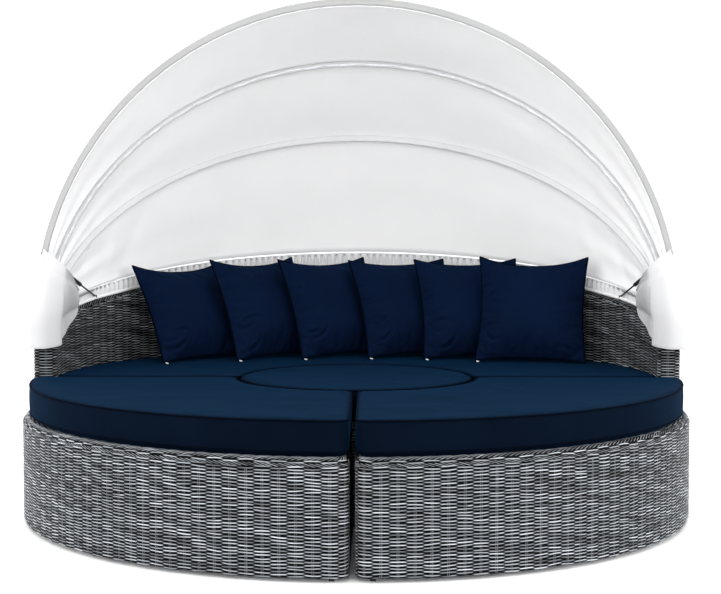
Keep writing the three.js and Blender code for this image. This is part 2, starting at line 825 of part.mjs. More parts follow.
function panel(front, rear, hem) {
  const shares = Array.from({ length: panelRows + 1 }, (_, j) => j / panelRows);
  const lines = shares.map((share) => ({
    tilt: THREE.MathUtils.lerp(front.tilt, rear.tilt, share) * degree,
    radius: THREE.MathUtils.lerp(front.radius, rear.radius, share ** 2),
    sag: clothSag * Math.sin(Math.PI * share),
  }));
  if (hem) lines.unshift({ tilt: (front.tilt - hem) * degree, radius: front.radius, sag: 0 });
  const place = (outside) => (i, j) => {
    const line = lines[j];
    const turn = clothFrom + ((Math.PI - 2 * clothFrom) * i) / bowSteps;
    const overBow = bowTube + clothFit + (outside ? clothThickness : 0);
    const radius = line.radius + overBow - line.sag * Math.sin(turn);
    const rise = radius * Math.sin(turn);
    return [
      radius * Math.cos(turn),
      pivot.y + rise * Math.sin(line.tilt),
      pivot.z + rise * Math.cos(line.tilt),
    ];
  };
  return sheet(bowSteps + 1, lines.length, place(false), place(true));
}

const bows = [
  { radius: frontBowRadius, tilt: frontBowTilt },
  { radius: secondBowRadius, tilt: secondBowTilt },
  { radius: thirdBowRadius, tilt: thirdBowTilt },
  { radius: rearBowRadius, tilt: rearBowTilt },
];
["front_panel", "middle_panel", "rear_panel"].forEach((name, i) => {
  const front = { ...bows[i], tilt: bows[i].tilt + (i ? seamTilt : 0) };
  const rear = { ...bows[i + 1], tilt: bows[i + 1].tilt - (i < 2 ? seamTilt : rearHemTilt) };
  addMesh(daybed, name, panel(front, rear, i ? 0 : hemReach), clothFinish);
});

// The gathered skirt, from the rear bow down to the wall's top.
function skirt() {
  const rows = 2 * skirtGathers + 1;
  const from = skirtStart * degree;
  const place = (outside) => (i, j) => {
    const turn = from + ((Math.PI - 2 * from) * i) / (rows - 1);
    const point = rearBowPoint(turn);
    const away = new THREE.Vector2(point.x, point.y).normalize();
    const gather = j || i % 2 ? 0 : gatherDepth;
    const out = bowTube + 2 * fit + gather + (outside ? clothThickness : 0);
    const x = point.x + away.x * out;
    const y = point.y + away.y * out;
    return [x, y, j ? point.z - boltRadius / 2 : wallTop(y) + fit];
  };
  return sheet(rows, 2, place(false), place(true));
}

addMesh(sofa, "gathered_skirt", skirt(), clothFinish);

// Flaps: stations along a cloth that passes round the end of an arm, from the inner side to
// the outer. `turn` is round the wall in degrees, `low` and `high` are shares of the flap's
// fall and rise, `swell` and `back` are shares of how far its top stands in and back, and `loose`
// of how far it stands off the wall's face.
const flapStations = [
  { turn: 17, lowShare: 0.05, highShare: 0.14, swellShare: 0, backShare: 0, looseShare: 0, leg: "inner" },
  { turn: 12.5, lowShare: 0.48, highShare: 0.3, swellShare: 0, backShare: 0, looseShare: 0, leg: "inner" },
  { turn: 7, lowShare: 0.7, highShare: 0.57, swellShare: 0.85, backShare: 0, leg: "inner" },
  { turn: 3, lowShare: 0.83, highShare: 0.88, swellShare: 1, backShare: 0, leg: "inner" },
  { turn: 0, lowShare: 0.95, highShare: 0.98, swellShare: 0, backShare: 1, leg: "inner" },
  { frontShare: 0.3, lowShare: 1, highShare: 1, swellShare: 0, backShare: 1.05, leg: "front" },
  { frontShare: 0.7, lowShare: 1, highShare: 1, swellShare: 0, backShare: 1.1, leg: "front" },
  { turn: 0, lowShare: 1, highShare: 0.98, swellShare: 0, backShare: 1, leg: "outer" },
  { turn: 4, lowShare: 0.98, highShare: 0.85, swellShare: 0, backShare: 0, leg: "outer" },
  { turn: 8, lowShare: 0.92, highShare: 0.6, swellShare: 0, backShare: 0, leg: "outer" },
  { turn: 12.5, lowShare: 0.8, highShare: 0.36, swellShare: 0, backShare: 0, looseShare: 0.3, leg: "outer" },
  { turn: 17, lowShare: 0.5, highShare: 0.14, swellShare: 0, backShare: 0, looseShare: 0, leg: "outer" },
];
const flapLevels = [
  { fallShare: 1, riseShare: 0, crownShare: 0 },
  { fallShare: 0, riseShare: 0.21, crownShare: 0 },
  { fallShare: 0, riseShare: 0.6, crownShare: 0.5 },
  { fallShare: 0, riseShare: 1, crownShare: 1 },
];
const flapCrownShares = [0.5, 0.82]; // where the flap's top front corners stand across the arm

function flap(facing) {
  const inner = wallInside - flapGap;
  const outer = wallRadius + flapGap;
  const innerSeat = wallInside * Math.cos((arcStep / 2) * degree) - flapSeat;
  const outerSeat = wallRadius + flapSeat;
  const place = (outside) => (i, j) => {
    const s = flapStations[i];
    const level = flapLevels[j];
    const thick = outside ? clothThickness : 0;
    const wave = s.leg === "inner" ? 0 : (i % 2) * flapFold * (1 - level.riseShare);
    const turn = (s.turn ?? 0) * degree;
    const loose = s.looseShare ?? 1;
    const radius =
      s.leg === "inner"
        ? THREE.MathUtils.lerp(innerSeat, inner, loose) - thick
        : THREE.MathUtils.lerp(outerSeat, outer, loose) + thick + wave;
    let x = radius * Math.cos(turn);
    let y = radius * Math.sin(turn);
    if (s.leg === "front") {
      x = inner + (outer - inner) * s.frontShare;
      y = -flapGap - thick - wave;
    }
    const crown = level.crownShare;
    const shareAcross = s.leg === "outer" ? 1 : s.frontShare ?? 0;
    const crownX = inner + (outer - inner) * THREE.MathUtils.lerp(...flapCrownShares, shareAcross);
    const armTop = wallTop(Math.max(y, 0));
    const fall = level.fallShare * flapHem * s.lowShare;
    const crownedX = s.backShare ? THREE.MathUtils.lerp(x, crownX, crown) : x;
    return [
      facing * (crownedX - flapSwell * s.swellShare * crown),
      y + flapLean * s.backShare * crown,
      armTop - fall + level.riseShare * flapRise * s.highShare,
    ];
  };
  return sheet(flapStations.length, flapLevels.length, place(false), place(true));
}

addMesh(sofa, "arm_flap_left", flap(-1), clothFinish);
addMesh(sofa, "arm_flap_right", flap(1), clothFinish);

// Gas struts, each from a ball on the wall's top to a stud on the front bow's end plate

for (const [side, facing] of [["left", -1], ["right", 1]]) {
  const eyeLine = wallRadius - eyeInset;
  const foot = new THREE.Vector3(
    facing * eyeLine * Math.cos(eyeTurn * degree),
    eyeLine * Math.sin(eyeTurn * degree),
    0,
  );
  foot.z = wallTop(foot.y);
  const slope = new THREE.Matrix4().makeRotationX(armAngle).setPosition(foot);
  const lower = new THREE.Vector3(0, 0, eyeHeight).applyMatrix4(slope);
  const plateMiddle = new THREE.Vector3(0, 0, fit + eyePlateThickness / 2).applyMatrix4(slope);
  const postTop = new THREE.Vector3(0, 0, eyeHeight - ballRadius - fit).applyMatrix4(slope);
  const eye = box(
    eyePlateWidth,
    eyePlateLength,
    eyePlateThickness,
    slope.clone().multiply(shift(0, 0, fit + eyePlateThickness / 2)),
  ).add(bar(plateMiddle, postTop, studRadius));
  addMesh(sofa, `strut_eye_${side}`, eye, blackFinish);

  const plate = inPlace(new THREE.Group(), frontBowTilt);
  daybed.add(plate);
  const plateX = frontBowRadius - plateInset - plateThickness / 2;
  const upperX = frontBowRadius - strutInset;
  const across = (x, z) => new THREE.Vector3(facing * x, 0, z);
  const disc = (x, z, r, length) => bar(across(x - length / 2, z), across(x + length / 2, z), r);
  const plateSolid = box(plateThickness, plateWidth, strutRise, shift(facing * plateX, 0, strutRise / 2))
    .add(disc(plateX, 0, lugRadius, plateThickness))
    .add(disc(plateX, strutRise, plateWidth / 2, plateThickness))
    .add(bar(across(upperX + cylinderRadius + strutEndGap, strutRise), across(plateX, strutRise), studRadius))
    .subtract(disc(plateX, 0, boltRadius + fit, 3 * plateThickness));
  addMesh(plate, `front_bow_plate_${side}`, plateSolid, blackFinish);

  const upper = across(upperX, strutRise).applyMatrix4(bowPlace(frontBowTilt));
  const way = new THREE.Vector3().subVectors(upper, lower).normalize();
  const atRun = (run) => lower.clone().addScaledVector(way, run);
  const rod = ball(lower, ballRadius).add(bar(lower, atRun(rodExposed + rodHidden), rodRadius));
  addMesh(daybed, `strut_rod_${side}`, rod, steelFinish);
  const cylinder = bar(atRun(rodExposed), upper, cylinderRadius)
    .add(ball(upper, cylinderRadius))
    .subtract(bar(atRun(rodExposed - overrun), atRun(rodExposed + boreDepth), cylinderBore));
  addMesh(daybed, `strut_cylinder_${side}`, cylinder, blackFinish);
}

// The origin is the middle of the floor under the whole daybed.
daybed.position.y = seatGap / 2;

export default daybed;
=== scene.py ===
import json
import math

import bpy
import numpy as np
from mathutils import Matrix, Vector, noise


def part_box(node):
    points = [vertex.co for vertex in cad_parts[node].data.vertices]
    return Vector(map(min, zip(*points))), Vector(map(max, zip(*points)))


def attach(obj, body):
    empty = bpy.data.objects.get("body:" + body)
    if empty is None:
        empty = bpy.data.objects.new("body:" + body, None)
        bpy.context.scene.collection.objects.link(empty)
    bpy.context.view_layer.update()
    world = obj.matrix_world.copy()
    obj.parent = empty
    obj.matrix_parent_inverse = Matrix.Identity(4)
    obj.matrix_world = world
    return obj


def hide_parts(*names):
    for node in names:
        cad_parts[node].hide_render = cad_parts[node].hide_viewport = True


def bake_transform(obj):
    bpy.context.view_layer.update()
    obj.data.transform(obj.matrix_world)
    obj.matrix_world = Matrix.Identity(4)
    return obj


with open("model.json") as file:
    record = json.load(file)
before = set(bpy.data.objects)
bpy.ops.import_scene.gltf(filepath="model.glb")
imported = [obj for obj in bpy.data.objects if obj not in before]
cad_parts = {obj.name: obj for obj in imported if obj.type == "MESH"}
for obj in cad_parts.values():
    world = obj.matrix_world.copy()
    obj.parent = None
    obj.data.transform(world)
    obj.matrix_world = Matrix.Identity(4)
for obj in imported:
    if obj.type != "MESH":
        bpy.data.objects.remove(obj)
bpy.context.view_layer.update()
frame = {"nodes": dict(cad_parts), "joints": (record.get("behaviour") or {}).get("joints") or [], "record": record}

print("Frame loaded:", len(frame["nodes"]), "nodes")

mm = 0.001
degree = math.pi / 180

# Places taken from the frame
wallLow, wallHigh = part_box("wall_weave")
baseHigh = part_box("seat_front_weave")[1]
drumLow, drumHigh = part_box("ottoman_weave")
cushionLow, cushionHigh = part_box("seat_cushion")
sofaY = wallLow[1]
wallRadius = wallHigh[1] - wallLow[1]
hemHeight = wallLow[2]
backHeight = wallHigh[2]
rimHeight = baseHigh[2]
drumRadius = (drumHigh[0] - drumLow[0]) / 2
cushionBottom = cushionLow[2]
seatTop = cushionHigh[2]
pivot = Vector(frame["joints"][0]["pos_m"])

# Sizes that the modules share
plan = {
    "wallThickness": 0.077,
    "armHeight": 0.649,  # top of the wall at the front ends of the arms
    "drumGap": 0.012,
    "moduleGap": 0.018,
    "seatGap": 0.010,
    "baseCorner": 0.045,
    "armCorner": 0.018,
    "armRound": 0.012,
    "rimRound": 0.022,
    "rimFlange": 0.040,
    "rimBand": 0.002,  # below the rounded rim, wrapped the other way
}
wallInside = wallRadius - plan["wallThickness"]
recessRadius = drumRadius + plan["drumGap"]
armSlope = (backHeight - plan["armHeight"]) / wallRadius
armAngle = math.atan(armSlope)

modules = {
    "sofa": {"x": 0.0, "y": sofaY, "start": 0, "end": 180},
    "front_left": {"x": -plan["moduleGap"] / 2, "y": sofaY - plan["seatGap"], "start": 180, "end": 270},
    "front_right": {"x": plan["moduleGap"] / 2, "y": sofaY - plan["seatGap"], "start": 270, "end": 360},
    "ottoman": {"x": 0.0, "y": sofaY, "start": 0, "end": 360},
}


def wallTop(y):
    return plan["armHeight"] + armSlope * (y - sofaY)


# Meshes and pieces


def meshFrom(name, points, faces):
    points = np.asarray(points, dtype=np.float32).reshape(-1, 3)
    faces = [faces] if isinstance(faces, np.ndarray) else [np.asarray(part) for part in faces]
    totals = np.concatenate([np.full(len(part), part.shape[1]) for part in faces if len(part)])
    corners = np.concatenate([part.ravel() for part in faces if len(part)])
    mesh = bpy.data.meshes.new(name)
    mesh.vertices.add(len(points))
    mesh.vertices.foreach_set("co", points.ravel())
    mesh.loops.add(len(corners))
    mesh.loops.foreach_set("vertex_index", corners.astype(np.int32))
    mesh.polygons.add(len(totals))
    starts = np.concatenate([[0], np.cumsum(totals)[:-1]])
    mesh.polygons.foreach_set("loop_start", starts.astype(np.int32))
    mesh.polygons.foreach_set("loop_total", totals.astype(np.int32))
    mesh.update(calc_edges=True)
    mesh.validate()
    mesh.polygons.foreach_set("use_smooth", np.ones(len(mesh.polygons), dtype=bool))
    return mesh


def addPiece(name, shape, material, body, replaced=()):
    # a piece from points and faces, which rides with a body and may replace nodes of the frame
    piece = bpy.data.objects.new(name, meshFrom(name, *shape))
    bpy.context.scene.collection.objects.link(piece)
    piece.data.materials.append(material)
    if body:
        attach(piece, body)
    if replaced:
        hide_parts(*replaced)
    return piece


def gridFaces(rows, columns, closed=False, first=0, ring=False):
    # quads over a grid of points, row after row; closed joins each row's ends, ring the last row
    # to the first
    r = np.arange(rows if ring else rows - 1)[:, None]
    c = np.arange(columns if closed else columns - 1)[None, :]
    after, below = (c + 1) % columns, (r + 1) % rows
    faces = np.stack([r * columns + c, r * columns + after, below * columns + after, below * columns + c], -1)
    return faces.reshape(-1, 4) + first


def shellOf(grid, thickness):
    # a thin closed cloth round a grid of points: both faces and the edge between them
    rows, columns = grid.shape[:2]
    normal = np.cross(np.gradient(grid, axis=1), np.gradient(grid, axis=0))
    normal /= np.linalg.norm(normal, axis=2, keepdims=True) + 1e-12
    half = normal * thickness / 2
    points = np.concatenate([(grid + half).reshape(-1, 3), (grid - half).reshape(-1, 3)])
    front = gridFaces(rows, columns)
    size = rows * columns
    back = front[:, ::-1] + size
    edge = np.concatenate([
        np.arange(columns),
        np.arange(1, rows) * columns + columns - 1,
        (rows - 1) * columns + np.arange(columns - 2, -1, -1),
        np.arange(rows - 2, 0, -1) * columns,
    ])
    after = np.roll(edge, -1)
    rim = np.stack([after, edge, edge + size, after + size], -1)
    return points, np.concatenate([front, back, rim])


def gridArea(grid):
    a, b, c, d = grid[:-1, :-1], grid[:-1, 1:], grid[1:, 1:], grid[1:, :-1]
    halves = [np.cross(b - a, c - a), np.cross(c - a, d - a)]
    return sum(float(np.linalg.norm(h, axis=2).sum()) / 2 for h in halves)


def tubeAlong(path, radius, sides=8, closed=False, up=(0, 0, 1)):
    # a round cord along a path; its section turns with the path
    path = np.asarray(path, dtype=float)
    if closed:
        along = np.roll(path, -1, 0) - np.roll(path, 1, 0)
    else:
        along = np.gradient(path, axis=0)
    along /= np.linalg.norm(along, axis=1, keepdims=True)
    across = np.cross(along, np.asarray(up, dtype=float))
    across /= np.linalg.norm(across, axis=1, keepdims=True) + 1e-12
    other = np.cross(across, along)
    turn = np.linspace(0, 2 * math.pi, sides, endpoint=False)
    radius = np.broadcast_to(np.asarray(radius, dtype=float).reshape(-1, 1, 1), (len(path), 1, 1))
    ring = across[:, None] * np.cos(turn)[None, :, None] + other[:, None] * np.sin(turn)[None, :, None]
    points = path[:, None] + radius * ring
    n = len(path)
    faces = [np.roll(gridFaces(n, sides, True, ring=closed)[:, ::-1], 1, 1)]
    if not closed:
        faces += [np.arange(sides)[None, :], (n - 1) * sides + np.arange(sides)[None, ::-1]]
    return points.reshape(-1, 3), faces


def joined(meshes):
    # several (points, faces) sets as one
    points, groups, first = [], {}, 0
    for pts, faces in meshes:
        for part in (faces if isinstance(faces, list) else [faces]):
            groups.setdefault(part.shape[1], []).append(part + first)
        points.append(np.asarray(pts).reshape(-1, 3))
        first += len(points[-1])
    return np.concatenate(points), [np.concatenate(parts) for parts in groups.values()]


def ripple(points, scale, seed, depth=2):
    # smooth noise between about -1 and 1 at each point
    offset = Vector((seed * 17.3, seed * -5.1, seed * 3.7))
    flat = np.asarray(points).reshape(-1, 3)
    values = [noise.fractal(Vector(p) / scale + offset, 1.0, 2.0, depth) for p in flat]
    return np.array(values).reshape(np.asarray(points).shape[:-1])


# Finishes


def newMaterial(name, color, roughness, metallic=0.0, gloss=0.5):
    material = bpy.data.materials.new(name)
    material.use_nodes = True
    shader = material.node_tree.nodes["Principled BSDF"]
    shader.inputs["Base Color"].default_value = (*color, 1)
    shader.inputs["Roughness"].default_value = roughness
    shader.inputs["Metallic"].default_value = metallic
    shader.inputs["Specular IOR Level"].default_value = gloss
    return material, material.node_tree, shader


def feed(tree, socket, value):
    # a number, a colour or another node's output into a socket
    if isinstance(value, bpy.types.NodeSocket):
        tree.links.new(value, socket)
    else:
        socket.default_value = (*value, 1) if isinstance(value, tuple) else value


def addNode(tree, kind, **values):
    node = tree.nodes.new(kind)
    for key, value in values.items():
        if key in node.inputs:
            feed(tree, node.inputs[key], value)
        else:
            setattr(node, key, value)
    return node


def addNoise(tree, place, scale, detail, roughness):
    return addNode(tree, "ShaderNodeTexNoise", Vector=place, Scale=scale, Detail=detail,
                   Roughness=roughness).outputs["Fac"]


def ramp(tree, source, stops):
    node = addNode(tree, "ShaderNodeValToRGB", Fac=source)
    elements = node.color_ramp.elements
    while len(elements) < len(stops):
        elements.new(0.5)
    for element, (place, color) in zip(elements, stops):
        element.position = place
        element.color = (*color, 1) if isinstance(color, tuple) else (color, color, color, 1)
    return node.outputs["Color"]


def math2(tree, operation, a, b):
    node = addNode(tree, "ShaderNodeMath", operation=operation)
    feed(tree, node.inputs[0], a)
    feed(tree, node.inputs[1], b)
    return node.outputs[0]


def times(tree, a, b):
    # one colour laid over another like a shadow
    node = addNode(tree, "ShaderNodeMix", data_type="RGBA", blend_type="MULTIPLY")
    for socket, value in ((0, 1.0), (6, a), (7, b)):
        feed(tree, node.inputs[socket], value)
    return node.outputs[2]


def attribute(tree, name):
    return addNode(tree, "ShaderNodeAttribute", attribute_name=name).outputs["Fac"]


def finish(tree, shader, color, height, strength, distance, rough=None):
    # colour, roughness and small relief into a shader
    feed(tree, shader.inputs["Base Color"], color)
    if rough is not None:
        feed(tree, shader.inputs["Roughness"], rough)
    bump = addNode(tree, "ShaderNodeBump", Strength=strength, Distance=distance, Height=height)
    feed(tree, shader.inputs["Normal"], bump.outputs["Normal"])


weaveColors = {
    "dark": (0.037, 0.038, 0.044),
    "brown": (0.099, 0.102, 0.109),
    "grey": (0.169, 0.180, 0.195),
    "silver": (0.302, 0.320, 0.344),
    "light": (0.585, 0.615, 0.655),
}


def weaveMaterial(name, toneShift):
    # round synthetic strands: each length has its own tone, with fine streaks along it, and
    # painted shade darkens a strand's edges and the places where it dips behind a stake
    material, tree, shader = newMaterial(name, weaveColors["grey"], 0.42, gloss=0.05)
    place = addNode(tree, "ShaderNodeCombineXYZ")
    for axis, (value, scale) in enumerate((("along", 14.0), ("row", 3.1), ("across", 1.2))):
        feed(tree, place.inputs[axis], math2(tree, "MULTIPLY", attribute(tree, value), scale))
    streak = addNoise(tree, place.outputs[0], 1.0, 4.0, 0.65)
    light = math2(tree, "MULTIPLY", math2(tree, "SUBTRACT", streak, 0.5), 0.4)
    tone = math2(tree, "ADD", math2(tree, "ADD", attribute(tree, "tone"), light), toneShift)
    color = ramp(tree, tone, [
        (0.05, weaveColors["dark"]), (0.28, weaveColors["brown"]), (0.46, weaveColors["grey"]),
        (0.68, weaveColors["silver"]), (0.95, weaveColors["light"]),
    ])
    # painted shade: near black where a strand dips behind a stake, going by its depth
    dip = ramp(tree, attribute(tree, "depth"), [(0.34, 0.002), (0.47, 0.06), (0.58, 0.75), (0.74, 1)])
    # painted shade on a strand's rounded edges
    edge = ramp(tree, math2(tree, "ABSOLUTE", attribute(tree, "across"), 0.0), [(0.35, 1), (0.95, 0.14)])
    rough = math2(tree, "ADD", 0.34, math2(tree, "MULTIPLY", streak, 0.16))
    finish(tree, shader, times(tree, times(tree, color, dip), edge), streak, 0.25, 0.6 * mm, rough)
    return material


def fabricMaterial(name, color, highlight, threadPitch, sheen=0.0, sheenColor=(1, 1, 1)):
    # plain woven cloth: a fine grid of threads, with a slow change of shade
    material, tree, shader = newMaterial(name, color, 0.85, gloss=0.01)
    shader.inputs["Sheen Weight"].default_value = sheen
    shader.inputs["Sheen Roughness"].default_value = 0.4
    shader.inputs["Sheen Tint"].default_value = (*sheenColor, 1)
    place = addNode(tree, "ShaderNodeTexCoord").outputs["Object"]
    slow = addNoise(tree, place, 5.0, 3.0, 0.55)
    fine = addNoise(tree, place, 0.35 / threadPitch, 2.0, 0.6)
    threads = addNode(tree, "ShaderNodeTexVoronoi", distance="CHEBYCHEV", Vector=place, Scale=1 / threadPitch)
    shade = math2(tree, "ADD", math2(tree, "MULTIPLY", slow, 0.6), math2(tree, "MULTIPLY", fine, 0.4))
    finish(tree, shader, ramp(tree, shade, [(0.3, color), (0.72, highlight)]),
           threads.outputs["Distance"], 0.3, threadPitch * 0.3)
    return material


def navyCloth(name, color, highlight, sheen):
    return fabricMaterial(name, color, highlight, 1.1 * mm, sheen, (0.03, 0.38, 1.0))


def whiteCloth(name, tone, lighter, blue):
    return fabricMaterial(name, (tone, tone, tone + blue), (lighter, lighter, lighter + blue), 0.9 * mm)


def metalMaterial(name, color, roughness, metallic, grain):
    gloss = 0.3 if roughness < 0.6 else 0.02
    material, tree, shader = newMaterial(name, color, roughness, metallic, gloss)
    place = addNode(tree, "ShaderNodeTexCoord").outputs["Object"]
    patch = addNoise(tree, place, grain, 4.0, 0.6)
    lighter = tuple(min(1.0, c * 1.35 + 0.01) for c in color)
    rough = math2(tree, "ADD", roughness - 0.06, math2(tree, "MULTIPLY", patch, 0.14))
    finish(tree, shader, ramp(tree, patch, [(0.3, color), (0.75, lighter)]), patch, 0.08, 0.4 * mm, rough)
    return material


silverWeave = weaveMaterial("Silver wicker", 0.0)
# the wall's wicker is the same silver wicker, made darker as painted shade
shadedWeave = weaveMaterial("Silver wicker, painted shade", -0.13)
gapBacking = metalMaterial("Shadow behind the strands", (0.002, 0.002, 0.002), 0.95, 0.0, 60.0)
navyFabric = navyCloth("Navy canvas", (0.0010, 0.0027, 0.0070), (0.0016, 0.0042, 0.0108), 0.050)
pillowFabric = navyCloth("Navy pillow canvas", (0.0019, 0.0055, 0.0184), (0.0028, 0.0083, 0.0284), 0.030)
# the piping is of the navy canvas, made darker as painted shade along the seams
shadedNavyPiping = navyCloth("Navy piping, painted shade", (0.0005, 0.0013, 0.0036), (0.0010, 0.0023, 0.0058), 0.015)
whiteCanopy = whiteCloth("White canopy cloth", 0.90, 0.94, 0.003)
# the outer face: the same white cloth, greyer as painted shade
shadedOuterCanopy = whiteCloth("White canopy cloth, outer face, painted shade", 0.41, 0.45, 0.004)
# the binding, flaps, hem, pockets and sleeves are the same white cloth as the canopy, each made greyer as painted
# shade to suit the light that falls on it
shadedTrim = whiteCloth("White binding, painted shade", 0.72, 0.78, 0.005)
shadedFlapCloth = whiteCloth("White flap cloth, painted shade", 0.50, 0.56, 0.007)
shadedHemCloth = whiteCloth("White hem cloth, painted shade", 0.42, 0.47, 0.003)
shadedPocketCloth = whiteCloth("White pocket cloth, painted shade", 0.47, 0.53, 0.005)
shadedSleeveCloth = whiteCloth("White sleeve cloth, painted shade", 0.62, 0.69, 0.005)
zipPull = metalMaterial("White zip pull", (0.62, 0.62, 0.63), 0.4, 0.0, 300.0)
# cords along the pocket seams: the seams are real, and their grey is painted shade along them
shadedSeamLine = whiteCloth("Seam line, painted shade", 0.50, 0.62, 0.01)
frameMetal = metalMaterial("Frame tube", (0.50, 0.51, 0.53), 0.38, 0.6, 40.0)
blackMetal = metalMaterial("Black coated steel", (0.012, 0.012, 0.013), 0.38, 0.3, 90.0)
steelRod = metalMaterial("Dark rod", (0.006, 0.006, 0.007), 0.50, 0.0, 120.0)
deckWebbing = metalMaterial("Seat panel", (0.03, 0.03, 0.032), 0.7, 0.0, 200.0)
footPlastic = metalMaterial("Glide plastic", (0.015, 0.015, 0.016), 0.55, 0.0, 150.0)
slotFinish = {
    "silver_weave": silverWeave, "dark_weave": shadedWeave, "navy_fabric": navyFabric,
    "white_fabric": whiteCanopy, "frame_metal": frameMetal, "black_metal": blackMetal,
    "steel": steelRod, "deck_panel": deckWebbing, "foot_plastic": footPlastic,
}
for part in frame["record"]["subparts"]:
    node = frame["nodes"][part["node"]]
    node.data.materials.clear()
    node.data.materials.append(slotFinish[part["material_slot"]])
print("Finishes made:", len(bpy.data.materials))

# Outlines in plan


def arcOf(centre, radius, start, end, count, facing=1):
    a = np.linspace(start, end, count, endpoint=False)
    out = np.stack([np.cos(a), np.sin(a)], 1)
    return np.asarray(centre) + radius * out, facing * out


def sectorOutline(outer, inner, inset, corner, innerCorner, start, end, counts):
    # a ring sector with straight sides set in and rounded corners: points and outward directions
    arcCount, cornerCount, sideCount = counts
    a, b = start * degree, end * degree
    quarter = math.pi / 2
    outerReach, innerReach = outer - corner, inner + innerCorner
    outerTurn = math.asin((inset + corner) / outerReach)
    innerTurn = math.asin((inset + innerCorner) / innerReach)

    def at(reach, angle, centre=(0, 0)):
        return np.asarray(centre) + reach * np.array([math.cos(angle), math.sin(angle)])

    def side(first, firstRadius, second, secondRadius, angle):
        # the straight side between two corners, which faces one way
        start, end = at(firstRadius, angle, first), at(secondRadius, angle, second)
        points = start + (end - start) * np.linspace(0, 1, sideCount, endpoint=False)[:, None]
        return points, np.tile(at(1, angle), (sideCount, 1))

    outerA, outerB = at(outerReach, a + outerTurn), at(outerReach, b - outerTurn)
    innerB, innerA = at(innerReach, b - innerTurn), at(innerReach, a + innerTurn)
    stretches = [
        arcOf(outerA, corner, a - quarter, a + outerTurn, cornerCount),
        arcOf((0, 0), outer, a + outerTurn, b - outerTurn, arcCount),
        arcOf(outerB, corner, b - outerTurn, b + quarter, cornerCount),
        side(outerB, corner, innerB, innerCorner, b + quarter),
        arcOf(innerB, innerCorner, b + quarter, b - innerTurn + math.pi, cornerCount),
        arcOf((0, 0), inner, b - innerTurn, a + innerTurn, arcCount, -1),
        arcOf(innerA, innerCorner, a + innerTurn - math.pi, a - quarter, cornerCount),
        side(innerA, innerCorner, outerA, corner, a - quarter),
    ]
    return np.concatenate([s[0] for s in stretches]), np.concatenate([s[1] for s in stretches])


def discOutline(radius, count):
    return arcOf((0, 0), radius, 0, 2 * math.pi, count)


def onLine(at, run, points):
    # the points of a line at distances along it
    return np.stack([np.interp(at, run, points[:, k]) for k in range(2)], -1)


def evenPath(points, directions, closed, pitch, perPitch):
    # the path again with an even step, a whole and even number of stakes apart
    if closed:
        points = np.concatenate([points, points[:1]])
        directions = np.concatenate([directions, directions[:1]])
    steps = np.linalg.norm(np.diff(points, axis=0), axis=1)
    run = np.concatenate([[0], np.cumsum(steps)])
    stakes = 2 * round(run[-1] / pitch / 2)
    count = stakes * perPitch
    at = np.linspace(0, run[-1], count + 1)
    if closed:
        at = at[:-1]
    out = onLine(at, run, directions)
    out /= np.linalg.norm(out, axis=1, keepdims=True)
    return {"place": onLine(at, run, points), "out": out, "run": at, "stakes": stakes,
            "closed": closed, "length": run[-1]}


# Weaving

weave = {
    "rowPitch": 4.95 * mm,
    "stakePitch": 49 * mm,
    "perStake": 4,  # steps of a strand between two stakes
    "strandWidth": 4.2 * mm,
    "strandHeight": 1.2 * mm,
    "swing": 1.5 * mm,  # how far a strand passes in front of and behind the stakes
    "setIn": 0.8 * mm,  # of the stakes' line from the face
    "wander": 0.55 * mm,
    "wanderWaves": (11, 40, 69),
    "drift": 1.1 * mm,  # of neighbouring rows together
    "driftWaves": (23, 57),
    "stakeWidth": 2.0 * mm,
    "stakeRound": 0.5 * mm,
    "stakeGap": 5.5 * mm,  # between the two strands of a stake, middle to middle
    "backingDepth": 3.6 * mm,
    "backingThickness": 1.4 * mm,
    "shortestLength": 0.10,  # of one tone along a strand
    "longestLength": 0.75,
    "darkShare": 0.12,
    "lightShare": 0.20,
    "tones": {"dark": (0.44, 0.05), "plain": (0.64, 0.06), "light": (0.80, 0.06),
              "stake": (0.45, 0.08), "wrap": (0.60, 0.12)},  # middle and spread
    "patchWaves": 9,
    "wrapPitch": 18 * mm,  # of the slanting strands that wrap an edge
    "wrapWidth": 6.6 * mm,
    "wrapSlant": 36 * mm,
    "wrapRound": 2.2 * mm,
    "patchTone": 0.035,
}

strandSection = np.array([-1.0, 0.0, 1.0])  # the three lines that a strand is made of


class Profile:
    # how a woven skin rises: set in by d at height z, as a line of points with its own run

    def __init__(self, points):
        points = np.asarray(points, dtype=float)
        steps = np.linalg.norm(np.diff(points, axis=0), axis=1)
        self.run = np.concatenate([[0], np.cumsum(steps)])
        self.points = points
        self.length = self.run[-1]

    def at(self, v):
        # the inset and height at a run, and the skin's outward direction there
        step = 0.5 * mm
        before, here, after = (np.moveaxis(onLine(v + shift, self.run, self.points), -1, 0)
                               for shift in (-step, 0, step))
        along = after - before
        size = np.hypot(*along) + 1e-12
        return *here, -along[1] / size, along[0] / size


def roundedProfile(bottom, top, edge, flange):
    turn = np.linspace(0, math.pi / 2, 9)
    curve = [(edge - edge * math.cos(a), top - edge + edge * math.sin(a)) for a in turn]
    return Profile([(0, bottom), *curve, (flange, top)])


